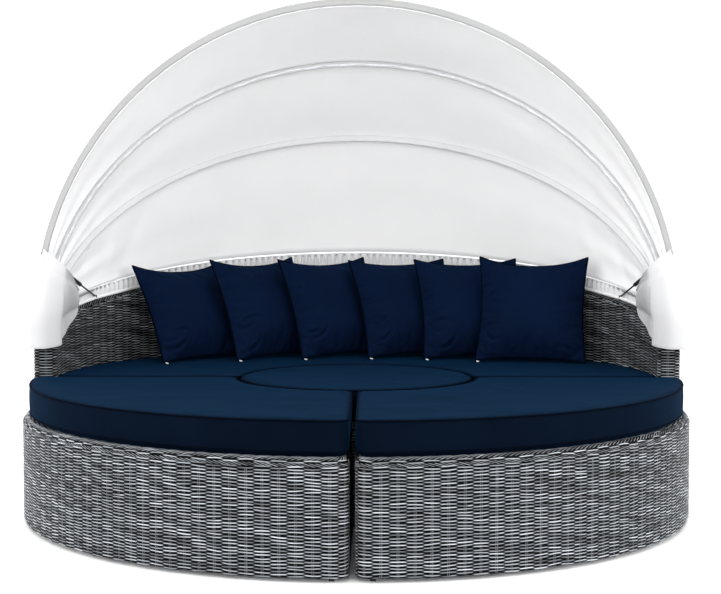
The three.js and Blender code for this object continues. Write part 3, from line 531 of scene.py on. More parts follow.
def strandTones(rng, rows, run, length):
    # each row is made of lengths of strand of different tones, over soft patches across the skin
    tones = np.zeros((rows, len(run)))
    for row in range(rows):
        place = -rng.uniform(0, weave["longestLength"])
        while place < length:
            piece = rng.uniform(weave["shortestLength"], weave["longestLength"])
            kind = rng.uniform()
            tone = rng.normal(*weave["tones"]["plain"])
            if kind < weave["darkShare"]:
                tone = rng.normal(*weave["tones"]["dark"])
            elif kind > 1 - weave["lightShare"]:
                tone = rng.normal(*weave["tones"]["light"])
            tones[row, (run >= place) & (run < place + piece)] = tone
            place += piece
    height = np.arange(rows)[:, None] * weave["rowPitch"]
    for _ in range(weave["patchWaves"]):
        wide, tall = rng.uniform(0.10, 0.45), rng.uniform(0.03, 0.12)
        phase = rng.uniform(0, 2 * math.pi)
        tones += weave["patchTone"] * np.cos(2 * math.pi * (run[None, :] / wide + height / tall) + phase)
    return tones


def alongPath(path, at):
    # places and outward directions at distances along a path
    run, place, out = path["run"], path["place"], path["out"]
    if path["closed"]:
        run = np.append(run, path["length"])
        place, out = (np.concatenate([part, part[:1]]) for part in (place, out))
    return onLine(at, run, place), onLine(at, run, out)


def onSkin(place, out, d, z, centre, lift=None):
    # points set in by d at height z, from places in plan and their outward directions
    x = place[..., 0] - d * out[..., 0] + centre[0]
    y = place[..., 1] - d * out[..., 1] + centre[1]
    if lift is not None:
        z = z + lift(y)
    return np.stack(np.broadcast_arrays(x, y, z), -1)


def strandRows(path, profile, levels, centre, lift=None, keep=None, rng=None):
    # one woven skin: a strand for each level along the profile
    rows, count = len(levels), len(path["run"])
    across = strandSection
    wander = np.zeros((rows, count))
    run = path["run"][None, :]
    for waves in weave["wanderWaves"]:
        phase = rng.uniform(0, 2 * math.pi, rows)[:, None]
        wander += np.sin(run * waves + phase) * weave["wander"]
    turned = np.arange(rows)[:, None] * 0.11 + rng.uniform(0, 6)
    slow, fine = weave["driftWaves"]
    wander += np.sin(run * slow + turned) * weave["drift"]
    wander += np.sin(run * fine + turned * 1.7) * weave["drift"] / 2
    v = levels[:, None, None] + wander[:, :, None] + across * weave["strandWidth"] / 2
    d, z, _, _ = profile.at(v)
    _, _, nd, nz = profile.at(levels)
    stake = path["length"] / path["stakes"]
    over = np.cos(math.pi * run / stake + math.pi * np.arange(rows)[:, None])
    out = weave["swing"] * over[:, :, None] + weave["strandHeight"] * (1 - across**2) - weave["setIn"]
    grid = onSkin(path["place"][None, :, None], path["out"][None, :, None], d + nd[:, None, None] * out,
                  z + nz[:, None, None] * out, centre, lift)
    index = np.arange(rows * count * 3).reshape(rows, count, 3)
    after = np.roll(index, -1, 1)
    faces = np.stack([index[:, :, :-1], after[:, :, :-1], after[:, :, 1:], index[:, :, 1:]], -1)
    allowed = np.ones((rows, count), dtype=bool)
    if not path["closed"]:
        allowed[:, -1] = False
    if keep is not None:
        inside = keep(grid[:, :, 1, 1], grid[:, :, 1, 2])
        allowed &= inside & np.roll(inside, -1, 1)
    faces = faces[allowed].reshape(-1, 4)
    tones = strandTones(rng, rows, path["run"], path["length"])
    return grid, faces, {
        "tone": tones[:, :, None], "along": run[:, :, None],
        # depth: how far forward a strand passes, which the finish turns into painted shade
        "row": np.arange(rows)[:, None, None] * 1.37, "across": across, "depth": over[:, :, None] / 2 + 0.5,
    }


def stakeRows(path, profile, low, high, centre, lift=None, keep=None, rng=None):
    # thin double strands up the skin at each stake
    stake = path["length"] / path["stakes"]
    places = np.arange(path["stakes"] + (0 if path["closed"] else 1)) * stake
    half = weave["stakeGap"] / 2
    width = weave["stakeWidth"] / 2
    levels = np.arange(low, high, weave["rowPitch"] * 2.5)
    d, z, nd, nz = profile.at(levels)
    points, faces, tones, runs, edges, index = [], [], [], [], [], 0
    for middle in places:
        for side in (-half, half):
            grid = []
            for edge in (-1, 0, 1):
                at = np.clip(middle + side + edge * width, 0, path["length"])
                rise = (0 if edge else weave["stakeRound"]) - weave["setIn"]
                grid.append(onSkin(*alongPath(path, at), d + nd * rise, z + nz * rise, centre, lift))
            grid = np.stack(grid, 1)
            if keep is not None:
                inside = keep(grid[:, 1, 1], grid[:, 1, 2])
                grid = grid[inside]
            if len(grid) < 2:
                continue
            points.append(grid.reshape(-1, 3))
            faces.append(gridFaces(len(grid), 3, first=index)[:, ::-1])
            tones.append(np.full(len(grid) * 3, rng.normal(*weave["tones"]["stake"])))
            runs.append(grid[:, :, 2].ravel())
            edges.append(np.tile(strandSection, len(grid)))
            index += len(grid) * 3
    return np.concatenate(points), np.concatenate(faces), {
        "tone": np.concatenate(tones), "along": np.concatenate(runs), "row": 3.3,
        # a fixed depth, from which the finish paints the stakes a little shade
        "across": np.concatenate(edges), "depth": 0.66,
    }


def wrapRows(path, profile, low, high, slant, centre, lift=None, rng=None):
    # short slanting strands side by side, which wrap an edge from one height to another
    count = int(round(path["length"] / weave["wrapPitch"]))
    steps = 7
    share = np.linspace(0, 1, steps)[None, :, None]
    across = strandSection[None, None, :]
    start = (np.arange(count) * path["length"] / count)[:, None, None]
    at = start + slant * share + across * weave["wrapWidth"] / 2
    at = at % path["length"] if path["closed"] else np.clip(at, 0, path["length"])
    v = low + (high - low) * share + 0 * at
    d, z, nd, nz = profile.at(v)
    out = weave["wrapRound"] * np.sin(math.pi * (0.12 + 0.76 * share)) * (1 - 0.8 * across**2)
    points = onSkin(*alongPath(path, at), d + nd * out, z + nz * out, centre, lift)
    faces = np.concatenate([gridFaces(steps, 3, first=k * steps * 3)[:, ::-1] for k in range(count)])
    if slant < 0:
        faces = faces[:, ::-1]
    return points, faces, {
        "tone": rng.normal(*weave["tones"]["wrap"], (count, 1, 1)), "along": v + start, "row": start * 100,
        # the depth paints shade at both ends of each wrap
        "across": across, "depth": 0.35 + 0.6 * np.sin(math.pi * (0.08 + 0.84 * share)),
    }


def backingSkin(path, profile, low, high, centre, lift=None, top=None):
    # a dark closed skin behind the strands
    levels = np.linspace(low, high, 26)
    layers = []
    for depth in (weave["backingDepth"], weave["backingDepth"] + weave["backingThickness"]):
        d, z, nd, nz = profile.at(levels)
        layer = onSkin(path["place"][None], path["out"][None], (d - nd * depth)[:, None],
                       (z - nz * depth)[:, None], centre, lift)
        if top is not None:
            layer[..., 2] = np.minimum(layer[..., 2], top(layer[..., 1]))
        layers.append(layer)
    rows, count = layers[0].shape[:2]
    size = rows * count
    closed = path["closed"]
    outer = gridFaces(rows, count, closed)
    inner = outer[:, ::-1] + size
    c = np.arange(count if closed else count - 1)
    after = (c + 1) % count
    last = (rows - 1) * count
    rims = [np.stack([after, c, c + size, after + size], -1),
            np.stack([c + last, after + last, after + last + size, c + last + size], -1)]
    if not closed:
        r = np.arange(rows - 1) * count
        rims.append(np.stack([r, r + count, r + count + size, r + size], -1))
        r = r + count - 1
        rims.append(np.stack([r + count, r, r + size, r + count + size], -1))
    return np.concatenate([a.reshape(-1, 3) for a in layers]), np.concatenate([outer, inner, *rims])


def addWoven(name, parts, material, body, replaced=()):
    points, faces, values, first = [], [], {}, 0
    for grid, quads, attributes in parts:
        points.append(grid.reshape(-1, 3))
        faces.append(quads + first)
        first += len(points[-1])
        for key, value in attributes.items():
            values.setdefault(key, []).append(np.broadcast_to(value, grid.shape[:-1]).ravel())
    shape = np.concatenate(points), np.concatenate(faces)
    mesh = addPiece(name, shape, material, body, replaced).data
    for key, value in values.items():
        mesh.attributes.new(key, "FLOAT", "POINT").data.foreach_set(
            "value", np.concatenate(value).astype(np.float32)
        )
    print("Woven", name, len(mesh.polygons), "faces")


def weaveBase(name, outline, body, seed, closed=True):
    # the skin of a base: up its face, over the rounded rim and across the flange
    rng = np.random.default_rng(seed)
    path = evenPath(*outline, closed, weave["stakePitch"], weave["perStake"])
    profile = roundedProfile(hemHeight, rimHeight, plan["rimRound"], plan["rimFlange"])
    centre = (modules[body]["x"], modules[body]["y"])
    pitch = weave["rowPitch"]
    face = rimHeight - plan["rimRound"] - hemHeight  # height of the upright part
    rounded = plan["rimRound"] * math.pi / 2
    levels = np.arange(pitch / 2 + 0.5 * mm, face - plan["rimBand"], pitch)
    ledge = np.arange(face + rounded + pitch / 2, profile.length - pitch / 4, pitch)
    parts = [
        strandRows(path, profile, levels, centre, rng=rng),
        strandRows(path, profile, ledge, centre, rng=rng),
        stakeRows(path, profile, 2 * mm, face - plan["rimBand"], centre, rng=rng),
        strandRows(path, profile, face + rounded * np.array([0.30, 0.45]), centre, rng=rng),
        wrapRows(path, profile, face - plan["rimBand"], face + rounded * 0.24, -weave["wrapSlant"], centre,
                 rng=rng),
        wrapRows(path, profile, face + rounded * 0.52, face + rounded, weave["wrapSlant"], centre, rng=rng),
    ]
    addWoven(name + "_wicker", parts, silverWeave, body, [name + "_weave"])
    addPiece(name + "_backing", backingSkin(path, profile, 1 * mm, profile.length - 1 * mm, centre),
             gapBacking, body)


def roundedSector(inner, corner, start, end, counts):
    return sectorOutline(wallRadius, inner, 0, corner, corner, start, end, counts)


for name in ("front_left", "front_right"):
    outline = roundedSector(recessRadius, plan["baseCorner"], modules[name]["start"], modules[name]["end"],
                            (200, 10, 60))
    weaveBase(name, outline, name, len(name))
weaveBase("ottoman", discOutline(drumRadius, 240), "ottoman", 21)

# The sofa's own front: two straight faces and the recess between them
outline = roundedSector(recessRadius, plan["baseCorner"], 0, 180, (400, 10, 80))
onFront = np.hypot(*outline[0].T) < wallInside - 2 * mm
firstFront = int(np.argmax(onFront & ~np.roll(onFront, 1)))
order = (np.arange(len(onFront)) + firstFront) % len(onFront)
order = order[onFront[order]]
weaveBase("seat_front", (outline[0][order], outline[1][order]), "sofa", 31, closed=False)

# The wall: its outer face with both arm ends, its inner face, and the wrapped top
wallOutline = roundedSector(wallInside, plan["armCorner"], 0, 180, (400, 8, 8))
wallCentre = (0.0, sofaY)
pitch = weave["rowPitch"]
wallRng = np.random.default_rng(41)
reach = np.hypot(*wallOutline[0].T)
isInner = (reach < wallInside + 0.5 * mm) & (wallOutline[0][:, 1] > plan["armCorner"])
innerOrder = np.flatnonzero(isInner)
firstOuter = innerOrder[-1]
outerOrder = (np.arange(len(isInner)) + firstOuter) % len(isInner)
outerOrder = outerOrder[: len(isInner) - len(innerOrder) + 2]
faceProfile = Profile([(0, hemHeight), (0, backHeight)])


def underRim(y, z):
    return z < wallTop(y) - plan["armRound"] + 2 * mm


def partOf(path, first, last):
    # a stretch of a path between two of its stakes
    part = slice(first * weave["perStake"], last * weave["perStake"] + 1)
    run = path["run"][part] - path["run"][first * weave["perStake"]]
    return {"place": path["place"][part], "out": path["out"][part], "run": run,
            "stakes": last - first, "closed": False, "length": run[-1]}


def wallFace(names, order, low, replaced=()):
    path = evenPath(wallOutline[0][order], wallOutline[1][order], False, weave["stakePitch"],
                    weave["perStake"])
    levels = np.arange(low - hemHeight + pitch / 2 + 0.5 * mm, faceProfile.length - plan["armRound"], pitch)
    each = path["stakes"] // len(names)
    each -= each % 2
    for index, name in enumerate(names):
        last = path["stakes"] if index == len(names) - 1 else (index + 1) * each
        part = partOf(path, index * each, last)
        rows = strandRows(part, faceProfile, levels, wallCentre, keep=underRim, rng=wallRng)
        stakes = stakeRows(part, faceProfile, low - hemHeight, faceProfile.length, wallCentre,
                           keep=underRim, rng=wallRng)
        addWoven(name, [rows, stakes], shadedWeave, "sofa", replaced)
    return backingSkin(path, faceProfile, low - hemHeight + 1 * mm, faceProfile.length, wallCentre,
                       top=lambda y: wallTop(y) - plan["armRound"] / 2)


backings = [
    wallFace(["wall_right_wicker", "wall_left_wicker"], outerOrder, hemHeight, ["wall_weave"]),
    wallFace(["wall_inside_wicker"], innerOrder, rimHeight - 8 * mm),
]
rimPath = evenPath(*wallOutline, True, weave["stakePitch"], weave["perStake"])
turn = np.linspace(0, math.pi / 2, 9)
armRound = plan["armRound"]
rimProfile = Profile([(-0.8 * mm, -armRound - 10 * mm),
                      *[(armRound * (1 - math.cos(a)), armRound * (math.sin(a) - 1)) for a in turn],
                      (plan["wallThickness"] / 2, 0)])
rimLow = armRound * math.pi / 2 + 10 * mm
rimLevels = np.concatenate([np.arange(2.5 * mm, 10 * mm, pitch),
                            np.arange(rimLow + pitch / 2, rimProfile.length - pitch / 3, pitch)])
addWoven("wall_rim_wicker", [
    strandRows(rimPath, rimProfile, rimLevels, wallCentre, lift=wallTop, rng=wallRng),
    wrapRows(rimPath, rimProfile, 11 * mm, rimLow, weave["wrapSlant"], wallCentre, lift=wallTop, rng=wallRng),
], shadedWeave, "sofa")
backings.append(backingSkin(rimPath, rimProfile, 1 * mm, rimProfile.length, wallCentre, lift=wallTop))
addPiece("wall_backing", joined(backings), gapBacking, "sofa")
print("Wicker done")

# Seat cushions

seat = {
    "seamDrop": 15 * mm,  # from the rim up to the bottom seam
    "sideHeight": 89 * mm,
    "swell": 2.4 * mm,  # how far the side stands out between its seams, which are drawn in
    "undercut": (3 * mm, 15 * mm),  # where the underside starts to drop to the deck, and where it rests
    "pipeRadius": 3.6 * mm,
    "crownRun": 26 * mm,
    "inset": 23 * mm,  # of the front bases' cushions from their round face
    "sideInset": 2 * mm,
    "corner": 40 * mm,
    "innerCorner": 30 * mm,
    "wallGap": 7 * mm,
    "ringGap": 8 * mm,
    "reach": 400 * mm,  # how far in from its edge a cushion is formed
    "ringMiddle": 6 * mm,  # left plain at the middle of a ring's width, and of a disc
    "discMiddle": 15 * mm,
    "cornerCount": 8,  # points round a corner
    "sideCount": 50,
    "slack": ((0.16, 2.2 * mm, 0), (0.05, 0.6 * mm, 5)),  # size and depth of the waves on top
    "settle": 1.2 * mm,
    "pucker": 0.5 * mm,
    "fill": 0.85,
}
lowerSeam = rimHeight + seat["seamDrop"]
upperSeam = lowerSeam + seat["sideHeight"]
cushionRecess = drumRadius + seat["ringGap"]
ringInsets = np.array([0, 2.5, 6, 11, 18, 27, 38, 52, 70, 95, 125, 160, 200, 240, 280, 310, 335]) * mm


def cushionRing(body, outer, arcCount, inset):
    # a seat cushion's outline, set in, always with the same number of points; a disc has no arcs
    if not arcCount:
        return discOutline(outer - inset, 220)
    return sectorOutline(
        outer - inset, cushionRecess + inset, seat["sideInset"] + inset,
        max(seat["corner"] - inset, 1 * mm), max(seat["innerCorner"] - inset, 1 * mm),
        modules[body]["start"], modules[body]["end"], (arcCount, seat["cornerCount"], seat["sideCount"]),
    )


def sewnForm(body, outer, arcCount, seed):
    # rings of points from the middle of the bottom, out to the seams and in over the top
    width = (outer - cushionRecess) / 2 - seat["ringMiddle"] if arcCount else outer - seat["discMiddle"]
    usable = min(width, seat["reach"])
    insets = [d for d in ringInsets if d < usable]
    if not arcCount:
        insets += [usable]
    rings = []

    def ring(inset, z):
        points, _ = cushionRing(body, outer, arcCount, inset)
        rings.append(np.column_stack([points, np.full(len(points), z)]))

    for inset in reversed(insets):
        lean, rest = seat["undercut"]
        share = min(max((inset - lean) / (rest - lean), 0), 1)
        ring(inset, lowerSeam - (lowerSeam - cushionBottom) * share * share * (3 - 2 * share))
    for share in (0.06, 0.18, 0.35, 0.5, 0.65, 0.82, 0.94):
        ring(-seat["swell"] * math.sin(math.pi * share) ** 0.6, lowerSeam + share * seat["sideHeight"])
    for inset in insets:
        ring(inset, upperSeam + (seatTop - upperSeam) * (1 - math.exp(-inset / (seat["crownRun"] * 0.45))))
    rings = np.stack(rings)
    count = rings.shape[1]
    faces = [gridFaces(len(rings), count, True)]
    last = (len(rings) - 1) * count
    if not arcCount:
        faces += [np.arange(count)[None, ::-1], last + np.arange(count)[None, :]]
    else:
        # the narrow gap left in the middle: quads between the two arcs, one face at each end
        outerFirst = seat["cornerCount"]
        innerFirst = outerFirst * 3 + arcCount + seat["sideCount"]
        i = np.arange(arcCount)
        outer = outerFirst + i
        inner = innerFirst + arcCount - i
        quads = np.stack([outer, outer + 1, inner - 1, inner], -1)
        endB = np.arange(outerFirst + arcCount, innerFirst + 1)
        endA = np.concatenate([np.arange(innerFirst + arcCount, count), np.arange(0, outerFirst + 1)])
        for start, flip in ((0, -1), (last, 1)):
            faces += [quads[:, ::flip] + start, endA[None, ::flip] + start, endB[None, ::flip] + start]
    centre = np.array([modules[body]["x"], modules[body]["y"], 0])
    # slack in the cover: slow waves over the top, small puckers along the seams
    points = rings + centre
    top, insets = len(rings) - len(insets), np.array(insets)
    waves = sum(ripple(points[top:], size, seed + k) * depth for size, depth, k in seat["slack"])
    fade = 1 - np.exp(-insets / (30 * mm))
    points[top:, :, 2] += waves * fade[:, None] - seat["settle"] * fade[:, None]
    along = np.linspace(0, 1, count, endpoint=False)
    puckers = np.sin(along * count * 0.55 + 2.0 * np.sin(along * 31 * math.pi)) * seat["pucker"]
    near = np.exp(-insets / (12 * mm)) * (insets > 0)
    points[top:, :, 2] += near[:, None] * puckers[None, :]
    points[:, :, 2] = np.maximum(points[:, :, 2], cushionBottom)
    return points, faces, centre


def addSeatCushion(node, body, outer, arcCount, seed):
    points, faces, centre = sewnForm(body, outer, arcCount, seed)
    name = node + "_cover"
    piece = addPiece(name, (points, faces), navyFabric, body, [node])
    outline, out = cushionRing(body, outer, arcCount, 0)
    pipes = []
    for height in (lowerSeam, upperSeam):
        line = np.column_stack([outline - out * 1.0 * mm, np.full(len(outline), height)]) + centre
        pipes.append(tubeAlong(line, seat["pipeRadius"], 8, closed=True))
    addPiece(name + "_piping", joined(pipes), shadedNavyPiping, body)


addSeatCushion("seat_cushion", "sofa", wallInside - seat["wallGap"], 230, 3)
for index, name in enumerate(("front_left", "front_right")):
    addSeatCushion(name + "_cushion", name, wallRadius - seat["inset"], 150, 7 + index)
addSeatCushion("ottoman_cushion", "ottoman", drumRadius, 0, 11)
print("Seat cushions done")

# Pillows

pillow = {
    "side": 425 * mm,
    "thickness": 142 * mm,
    "cells": 60,
    "seam": 4 * mm,
    "pull": 16 * mm,
    "fullness": 2.2,
    "startShare": 0.72,  # how full the form is before it is blown up
    "cover": {
        "quality": 6, "mass": 0.25, "tension_stiffness": 12, "compression_stiffness": 8, "shear_stiffness": 5,
        "bending_stiffness": 0.35, "use_pressure": True, "uniform_pressure_force": 5.0,
        "vertex_group_mass": "seam", "shrink_min": -0.035,
    },
    "frames": 22,
    "cap": 26 * mm,  # how far a point may move
    "wave": (0.09, 5 * mm),  # size and depth of the cloth's slack, and of its fine slack
    "fineWave": (0.03, 1.2 * mm),
    "pipeRadius": 3.4 * mm,
    "pipeIn": 3.0 * mm,
    "creaseWidth": 7 * mm,
    "creaseEdge": 22 * mm,  # where the creases die out before the seam
    "pullSize": (5.5 * mm, 1.2 * mm, 2.2 * mm),
    "pullPlace": (14 * mm, -7 * mm, 0),  # from the lower corner
    "pullTurn": 12,
    "fill": 0.7,
}
# Where each pillow's lower left corner stands, as shares of a pillow's side along the wall from
# the middle of the back and in from the wall, its yaw off the wall's line and its lean in
# degrees, and how far its top edge dips and tilts in millimetres
pillowPlaces = [
    (2.724, 0.558, -18.7, 31, 24, 12), (1.930, 0.946, -0.5, 25.3, 20, 9), (0.954, 1.141, 15, 25.7, 18, 7),
    (-0.166, 1.157, 27.6, 27.5, 12, -2), (-1.094, 1.098, 37.1, 25.8, 16, 3),
    (-1.867, 0.957, 30.9, 20.5, 26, -4),
]


def pillowGrid(side, full):
    cells = pillow["cells"] + 1
    u, v = np.meshgrid(np.linspace(-1, 1, cells), np.linspace(-1, 1, cells), indexing="ij")
    half = pillow["side"] / 2

    def pulled(a, b):
        return a * (half - pillow["pull"] * (1 - b**2) * abs(a))

    power = pillow["fullness"]
    swell = np.sqrt((1 - abs(u) ** power) * (1 - abs(v) ** power))
    depth = pillow["seam"] / 2 + (pillow["thickness"] / 2 * full - pillow["seam"] / 2) * swell
    return np.stack([pulled(u, v), side * depth, pulled(v, u)], -1)


def blowUp(mesh, pinned):
    # the cover swells under pressure, with its seam held, and moves no further than the cap
    piece = bpy.data.objects.new("pillow_sim", mesh)
    bpy.context.scene.collection.objects.link(piece)
    group = piece.vertex_groups.new(name="seam")
    group.add([int(i) for i in pinned], 1.0, "REPLACE")
    cloth = piece.modifiers.new("Cloth", "CLOTH")
    for key, value in pillow["cover"].items():
        setattr(cloth.settings, key, value)
    cloth.settings.effector_weights.gravity = 0
    cloth.point_cache.frame_start = 1
    cloth.point_cache.frame_end = pillow["frames"]
    scene = bpy.context.scene
    start = np.empty(len(mesh.vertices) * 3, dtype=np.float32)
    mesh.vertices.foreach_get("co", start)
    for number in range(1, pillow["frames"] + 1):
        scene.frame_set(number)
    graph = bpy.context.evaluated_depsgraph_get()
    result = np.empty_like(start)
    piece.evaluated_get(graph).to_mesh().vertices.foreach_get("co", result)
    piece.evaluated_get(graph).to_mesh_clear()
    scene.frame_set(1)
    bpy.data.objects.remove(piece)
    move = (result - start).reshape(-1, 3)
    size = np.linalg.norm(move, axis=1, keepdims=True)
    move *= np.minimum(1, pillow["cap"] / np.maximum(size, 1e-9))
    return start.reshape(-1, 3) + move


def pillowForm(seed):
    # both faces share the seam's points
    cells = pillow["cells"] + 1
    full = pillow["startShare"]
    front, back = pillowGrid(-1, full), pillowGrid(1, full)
    seamLine = np.zeros((cells, cells), dtype=bool)
    seamLine[[0, -1], :] = True
    seamLine[:, [0, -1]] = True
    index = np.arange(cells * cells).reshape(cells, cells)
    backIndex = index.copy()
    backIndex[~seamLine] = cells * cells + np.arange((~seamLine).sum())
    front[seamLine, 1] = 0
    (size, depth), (fineSize, fineDepth) = pillow["wave"], pillow["fineWave"]
    slack = ripple(front, size, seed, 3) * depth + ripple(front, fineSize, seed + 2, 2) * fineDepth
    front[:, :, 1] += np.where(seamLine, 0, slack)
    back[:, :, 1] += np.where(seamLine, 0, ripple(back, size, seed + 9, 3) * depth)
    points = np.concatenate([front.reshape(-1, 3), back[~seamLine]])

    def quads(ids):
        return np.stack([ids[:-1, :-1], ids[1:, :-1], ids[1:, 1:], ids[:-1, 1:]], -1).reshape(-1, 4)

    faces = np.concatenate([quads(index), quads(backIndex)[:, ::-1]])
    seamIds = np.concatenate([index[:, 0], index[-1, 1:], index[-2::-1, -1], index[0, -2:0:-1]])
    mesh = meshFrom("pillow_start", points, faces)
    points = blowUp(mesh, seamIds)
    bpy.data.meshes.remove(mesh)
    return points, faces, seamIds


# Creases of a leaning pillow's front: shares of its side across and up, heading, length as a share,
# depth in millimetres, and bend
creases = [
    (0.10, 0.66, 20, 0.10, 4.0, 1.0), (0.16, 0.33, 4, 0.15, 5.0, -1.2), (0.12, 0.24, -28, 0.12, 5.0, 1.5),
    (0.20, 0.10, 24, 0.15, 6.0, 1.2), (0.36, 0.07, 62, 0.09, 4.0, -1.0), (0.90, 0.52, -8, 0.08, 3.0, 1.0),
    (0.86, 0.14, -35, 0.12, 4.5, -1.4), (0.24, 0.88, -48, 0.12, 4.0, 1.2), (0.80, 0.90, 50, 0.10, 3.5, 1.2),
]


def creaseDepths(points, number):
    rng = np.random.default_rng(500 + number)
    side, width = pillow["side"], pillow["creaseWidth"]
    x, z = points[:, 0], points[:, 2]
    total = np.zeros(len(points))
    for across, up, heading, length, depth, bend in creases:
        dx = x - (across + rng.normal(0, 0.03)) * side
        dz = z - (up + rng.normal(0, 0.05)) * side
        heading = (heading + rng.normal(0, 9)) * degree
        along = (dx * math.cos(heading) + dz * math.sin(heading)) / (length * side / 2)
        beside = (dz * math.cos(heading) - dx * math.sin(heading)) / width - bend * along**2
        shape = np.exp(-(beside**2)) - 0.55 * np.exp(-((abs(beside) - 1.7) ** 2))
        total += depth * rng.uniform(1.1, 2.1) * mm * shape * np.exp(-(along**2))
    edge = np.minimum(np.minimum(x, side - x), np.minimum(z, side - z))
    return total * np.clip(edge / pillow["creaseEdge"], 0, 1) * (points[:, 1] < 0)


def addPull(name, place):
    # a small zip pull by a pillow's lower corner
    size = np.array(pillow["pullSize"])
    corners = np.array([[x, y, z] for x in (-1, 1) for y in (-1, 1) for z in (-1, 1)]) * size
    corners = corners @ np.array(Matrix.Rotation(pillow["pullTurn"] * degree, 3, "Y")).T + np.array(place)
    faces = np.array([[0, 1, 3, 2], [4, 6, 7, 5], [0, 4, 5, 1], [2, 3, 7, 6], [0, 2, 6, 4], [1, 5, 7, 3]])
    addPiece(name, (corners, faces), zipPull, "sofa")


def addPillow(number, place, form):
    arcShare, setbackShare, yaw, lean, dip, tilt = place
    points, faces, seamIds = form
    points = points.copy()
    half = pillow["side"] / 2
    if number % 2:
        points[:, 0] *= -1
        faces = faces[:, ::-1]
    # the top edge slumps between its corners and the filling settles low
    u, v = points[:, 0] / half, (points[:, 2] + half) / pillow["side"]
    points[:, 2] -= dip * mm * (1 - np.clip(abs(u), 0, 1) ** 2.4) * np.clip(v, 0, 1) ** 2
    points[:, 1] *= 1 + 0.10 * np.cos(np.clip(v, 0, 1) * math.pi)
    points[:, 0] += tilt * mm * np.clip(v, 0, 1) ** 2
    points += [half, 0, half]
    points[:, 1] += creaseDepths(points, number)
    turn = arcShare * pillow["side"] / wallInside
    reachIn = wallInside - setbackShare * pillow["side"]
    angle = math.pi / 2 + turn
    lean *= degree
    foot = Vector((reachIn * math.cos(angle), sofaY + reachIn * math.sin(angle),
                   seatTop + 0.3 * mm + pillow["seam"] / 2 * math.sin(lean)))
    pose = (Matrix.Translation(foot) @ Matrix.Rotation(turn + yaw * degree, 4, "Z")
            @ Matrix.Rotation(-lean, 4, "X"))
    world = points @ np.array(pose.to_3x3()).T + np.array(foot)
    world[:, 2] = np.maximum(world[:, 2], seatTop + 0.4 * mm)
    name = f"pillow_{number + 1}_cover"
    piece = addPiece(name, (world, faces), pillowFabric, "sofa", [f"pillow_{number + 1}"])
    smooth = piece.modifiers.new("Smooth", "SUBSURF")
    smooth.levels = smooth.render_levels = 1
    line = world[seamIds]
    middle = line.mean(0)
    line = middle + (line - middle) * (1 - pillow["pipeIn"] / half) + [0, 0, 1.2 * mm]
    pipe = tubeAlong(line, pillow["pipeRadius"], 8, closed=True, up=pose.to_3x3() @ Vector((0, 1, 0)))
    addPiece(name + "_piping", pipe, shadedNavyPiping, "sofa")
    corner = pose @ Vector(pillow["pullPlace"])
    addPull(f"pillow_{number + 1}_pull", (corner.x, corner.y, seatTop + 2.6 * mm))


pillowForms = [pillowForm(seed) for seed in (2, 5)]
for number, place in enumerate(pillowPlaces):
    addPillow(number, place, pillowForms[number // 2 % 2])
print("Pillows done")

# Canopy

canopy = {
    "bowTube": 7 * mm,
    "hemReach": 1.2,  # degrees that the front hem stands ahead of the front bow
    "clothStart": 3.6,
    "clothFit": 2.8 * mm,
    "sag": 12 * mm,
    "thickness": 1.6 * mm,
    "rearHem": 0.6,
    "gather": 7 * mm,  # folds where the cloth narrows towards the pivots
    "slack": 5 * mm,
    "fineSlack": 1.6 * mm,
    "pucker": 30 * mm,  # beside the seam at the crown
    "bendShare": 0.66,  # of a panel's depth at its crown that bends when the bows fold
    "pocketThickness": 1.0 * mm,
    "pocketPucker": 0.7 * mm,
    "columns": 150,
    "rows": 22,
}
# soft folds across each panel: where round the bow, slant, width, and depth in millimetres
canopyFolds = {
    "front_bow": [(1.43, 0.02, 0.025, -4), (1.86, 0.05, 0.05, 3), (0.9, -0.04, 0.04, 4),
                  (2.35, 0.04, 0.04, -4)],
    "second_bow": [(2.6, 0.10, 0.03, 4), (0.62, -0.10, 0.03, -4), (1.2, 0.05, 0.06, 3)],
    "third_bow": [(2.72, 0.16, 0.025, 5), (2.56, 0.14, 0.025, -4), (2.42, 0.2, 0.03, 4),
                  (0.5, -0.16, 0.03, 5), (0.72, -0.2, 0.03, -4)],
}
bowNames = ("front_bow", "second_bow", "third_bow", "rear_bow")
bowTilts = {"front_bow": 10, "second_bow": 33, "third_bow": 53.7, "rear_bow": 90 - armAngle / degree - 0.95}
bowRadii = {name: (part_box(name)[1][0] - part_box(name)[0][0]) / 2 - canopy["bowTube"] for name in bowNames}
bowBody = {"front_bow": "front_bow", "second_bow": "second_bow", "third_bow": "third_bow", "rear_bow": "sofa"}


def bowPoints(radius, tilt, turn):
    # points round a bow's plane that leans back by tilt, turn measured from its right end
    radius, tilt, turn = np.broadcast_arrays(radius, np.asarray(tilt) * degree, turn)
    rise = radius * np.sin(turn)
    return np.stack([radius * np.cos(turn), pivot.y + rise * np.sin(tilt), pivot.z + rise * np.cos(tilt)], -1)


